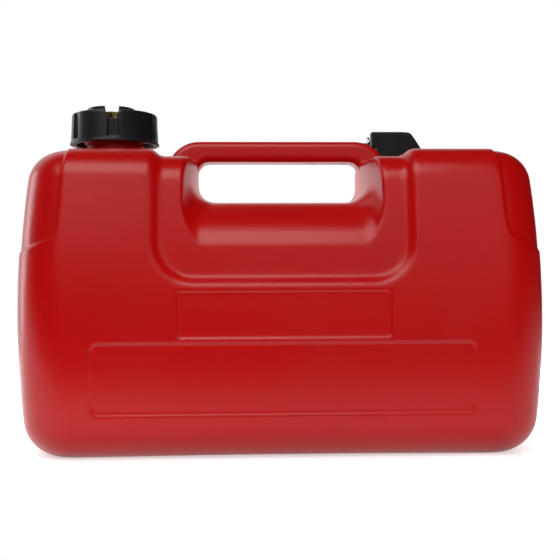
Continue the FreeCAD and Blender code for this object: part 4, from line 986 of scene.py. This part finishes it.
CAMERA_LENS = 65.37
CAMERA_SENSOR = 36.0


def softbox(name, place_at, aim_at, size, power, mirrored):
    """Rectangular lamp that faces a point; one that isn't mirrored leaves no highlight."""
    lamp = bpy.data.lights.new(name, 'AREA')
    lamp.shape = 'RECTANGLE'
    lamp.size, lamp.size_y = size
    lamp.energy = power
    holder = bpy.data.objects.new(name, lamp)
    bpy.context.scene.collection.objects.link(holder)
    holder.location = place_at
    holder.rotation_euler = (Vector(aim_at) - Vector(place_at)).to_track_quat('-Z', 'Y').to_euler()
    holder.visible_glossy = mirrored
    holder.visible_camera = False


def seen_directly(tree, path):
    """One for what the camera sees, also through the window, and nought for light and reflections."""
    return math_node(tree, 'MAXIMUM', path.outputs['Is Camera Ray'], path.outputs['Is Transmission Ray'])


def white_world():
    """Even soft fill, white in view, and a white backdrop to the back and left in reflections."""
    world = bpy.data.worlds.new("studio")
    bpy.context.scene.world = world
    world.use_nodes = True
    tree = world.node_tree
    background = tree.nodes['Background']
    path = tree.nodes.new('ShaderNodeLightPath')
    aim = tree.nodes.new('ShaderNodeVectorMath')
    aim.operation = 'DOT_PRODUCT'
    tree.links.new(tree.nodes.new('ShaderNodeTexCoord').outputs['Generated'], aim.inputs[0])
    aim.inputs[1].default_value = BACKDROP_TOWARDS
    backdrop = ramp_node(tree, aim.outputs['Value'], *BACKDROP_EDGE)
    mirrored = math_node(tree, 'MULTIPLY', backdrop, path.outputs['Is Glossy Ray'])
    white = math_node(tree, 'MAXIMUM', mirrored, seen_directly(tree, path))
    darker = math_node(tree, 'MULTIPLY', path.outputs['Is Glossy Ray'], WORLD_FILL - WORLD_SHEEN)
    fill = math_node(tree, 'SUBTRACT', WORLD_FILL, darker)
    tree.links.new(math_node(tree, 'MAXIMUM', white, fill), background.inputs['Strength'])
    background.inputs['Color'].default_value = (1.0, 1.0, 1.0, 1.0)


def pale_floor(colors):
    """Wide floor whose own colour fades into the white behind it and keeps the shadow."""
    form = bmesh.new()
    bmesh.ops.create_grid(form, x_segments=8, y_segments=8, size=FLOOR_SIZE / 2,
                          matrix=Matrix.Translation((0, FLOOR_SIZE / 2 - FLOOR_FRONT, 0)))
    floor = bpy.data.objects.new("floor", mesh_from(form, "floor"))
    bpy.context.scene.collection.objects.link(floor)
    material = bpy.data.materials.new("pale_floor")
    material.use_nodes = True
    tree = material.node_tree
    tree.nodes.clear()
    out = tree.nodes.new('ShaderNodeOutputMaterial')
    matt = tree.nodes.new('ShaderNodeBsdfDiffuse')
    matt.inputs['Color'].default_value = (*colors.floor, 1.0)
    glow = tree.nodes.new('ShaderNodeEmission')
    path = tree.nodes.new('ShaderNodeLightPath')
    split = tree.nodes.new('ShaderNodeSeparateXYZ')
    tree.links.new(place(tree), split.inputs[0])
    to_the_right = ramp_node(tree, split.outputs['X'], *FLOOR_SHEEN_END)
    not_right = math_node(tree, 'SUBTRACT', 1.0, to_the_right)
    mirrored = math_node(tree, 'MULTIPLY', path.outputs['Is Glossy Ray'], not_right)
    shown = math_node(tree, 'MAXIMUM', seen_directly(tree, path), mirrored)
    reach = tree.nodes.new('ShaderNodeVectorMath')
    reach.operation = 'LENGTH'
    tree.links.new(place(tree), reach.inputs[0])
    far = ramp_node(tree, reach.outputs['Value'], *FLOOR_GLOW_REACH)
    level = mix_value(tree, far, *FLOOR_GLOW)
    tree.links.new(math_node(tree, 'MULTIPLY', shown, level), glow.inputs['Strength'])
    both = tree.nodes.new('ShaderNodeAddShader')
    tree.links.new(matt.outputs[0], both.inputs[0])
    tree.links.new(glow.outputs[0], both.inputs[1])
    tree.links.new(both.outputs[0], out.inputs['Surface'])
    floor.data.materials.append(material)


def add_camera():
    """Level camera in front of the tank, turned a little to the right and hardly rolled."""
    lens = bpy.data.cameras.new("camera")
    lens.lens = CAMERA_LENS
    lens.sensor_width = CAMERA_SENSOR
    holder = bpy.data.objects.new("camera", lens)
    bpy.context.scene.collection.objects.link(holder)
    holder.matrix_world = (Matrix.Translation(CAMERA_PLACE) @ Matrix.Rotation(CAMERA_YAW, 4, 'Z')
                           @ Matrix.Rotation(math.pi / 2, 4, 'X') @ Matrix.Rotation(CAMERA_ROLL, 4, 'Z'))
    bpy.context.scene.camera = holder


class TANK_OT_stage(bpy.types.Operator):
    """Set the floor, the lamps and the camera"""
    bl_idname = "fuel_tank.stage"
    bl_label = "Stage"

    def execute(self, context):
        pale_floor(context.scene.tank_colors)
        white_world()
        for lamp in LAMPS:
            softbox(*lamp)
        add_camera()
        context.scene.view_settings.view_transform = 'Standard'
        return {'FINISHED'}


# ---------------------------------------------------------------- panel and registration

class TANK_PT_panel(bpy.types.Panel):
    """Sizes, colours and steps of the fuel tank"""
    bl_label = "Fuel tank"
    bl_idname = "TANK_PT_panel"
    bl_space_type = 'VIEW_3D'
    bl_region_type = 'UI'
    bl_category = "Fuel tank"

    def draw(self, context):
        for group in (context.scene.tank_sizes, context.scene.tank_colors):
            box = self.layout.box()
            for name in group.__annotations__:
                box.prop(group, name)
        for step in STEPS:
            self.layout.operator(step.bl_idname)


STEPS = (TANK_OT_shell, TANK_OT_cap, TANK_OT_vent_screw, TANK_OT_gauge, TANK_OT_hood, TANK_OT_screws,
         TANK_OT_fittings, TANK_OT_stage)
CLASSES = (TankSizes, TankColors) + STEPS + (TANK_PT_panel,)


def register():
    for cls in CLASSES:
        bpy.utils.register_class(cls)
    bpy.types.Scene.tank_sizes = PointerProperty(type=TankSizes)
    bpy.types.Scene.tank_colors = PointerProperty(type=TankColors)


def unregister():
    del bpy.types.Scene.tank_colors
    del bpy.types.Scene.tank_sizes
    for cls in reversed(CLASSES):
        bpy.utils.unregister_class(cls)


def main():
    """Make every piece and the stage."""
    register()
    bpy.ops.fuel_tank.shell()
    bpy.ops.fuel_tank.cap()
    bpy.ops.fuel_tank.vent_screw()
    bpy.ops.fuel_tank.gauge()
    bpy.ops.fuel_tank.hood()
    bpy.ops.fuel_tank.screws()
    bpy.ops.fuel_tank.fittings()
    bpy.ops.fuel_tank.stage()


if __name__ == "__main__":
    main()
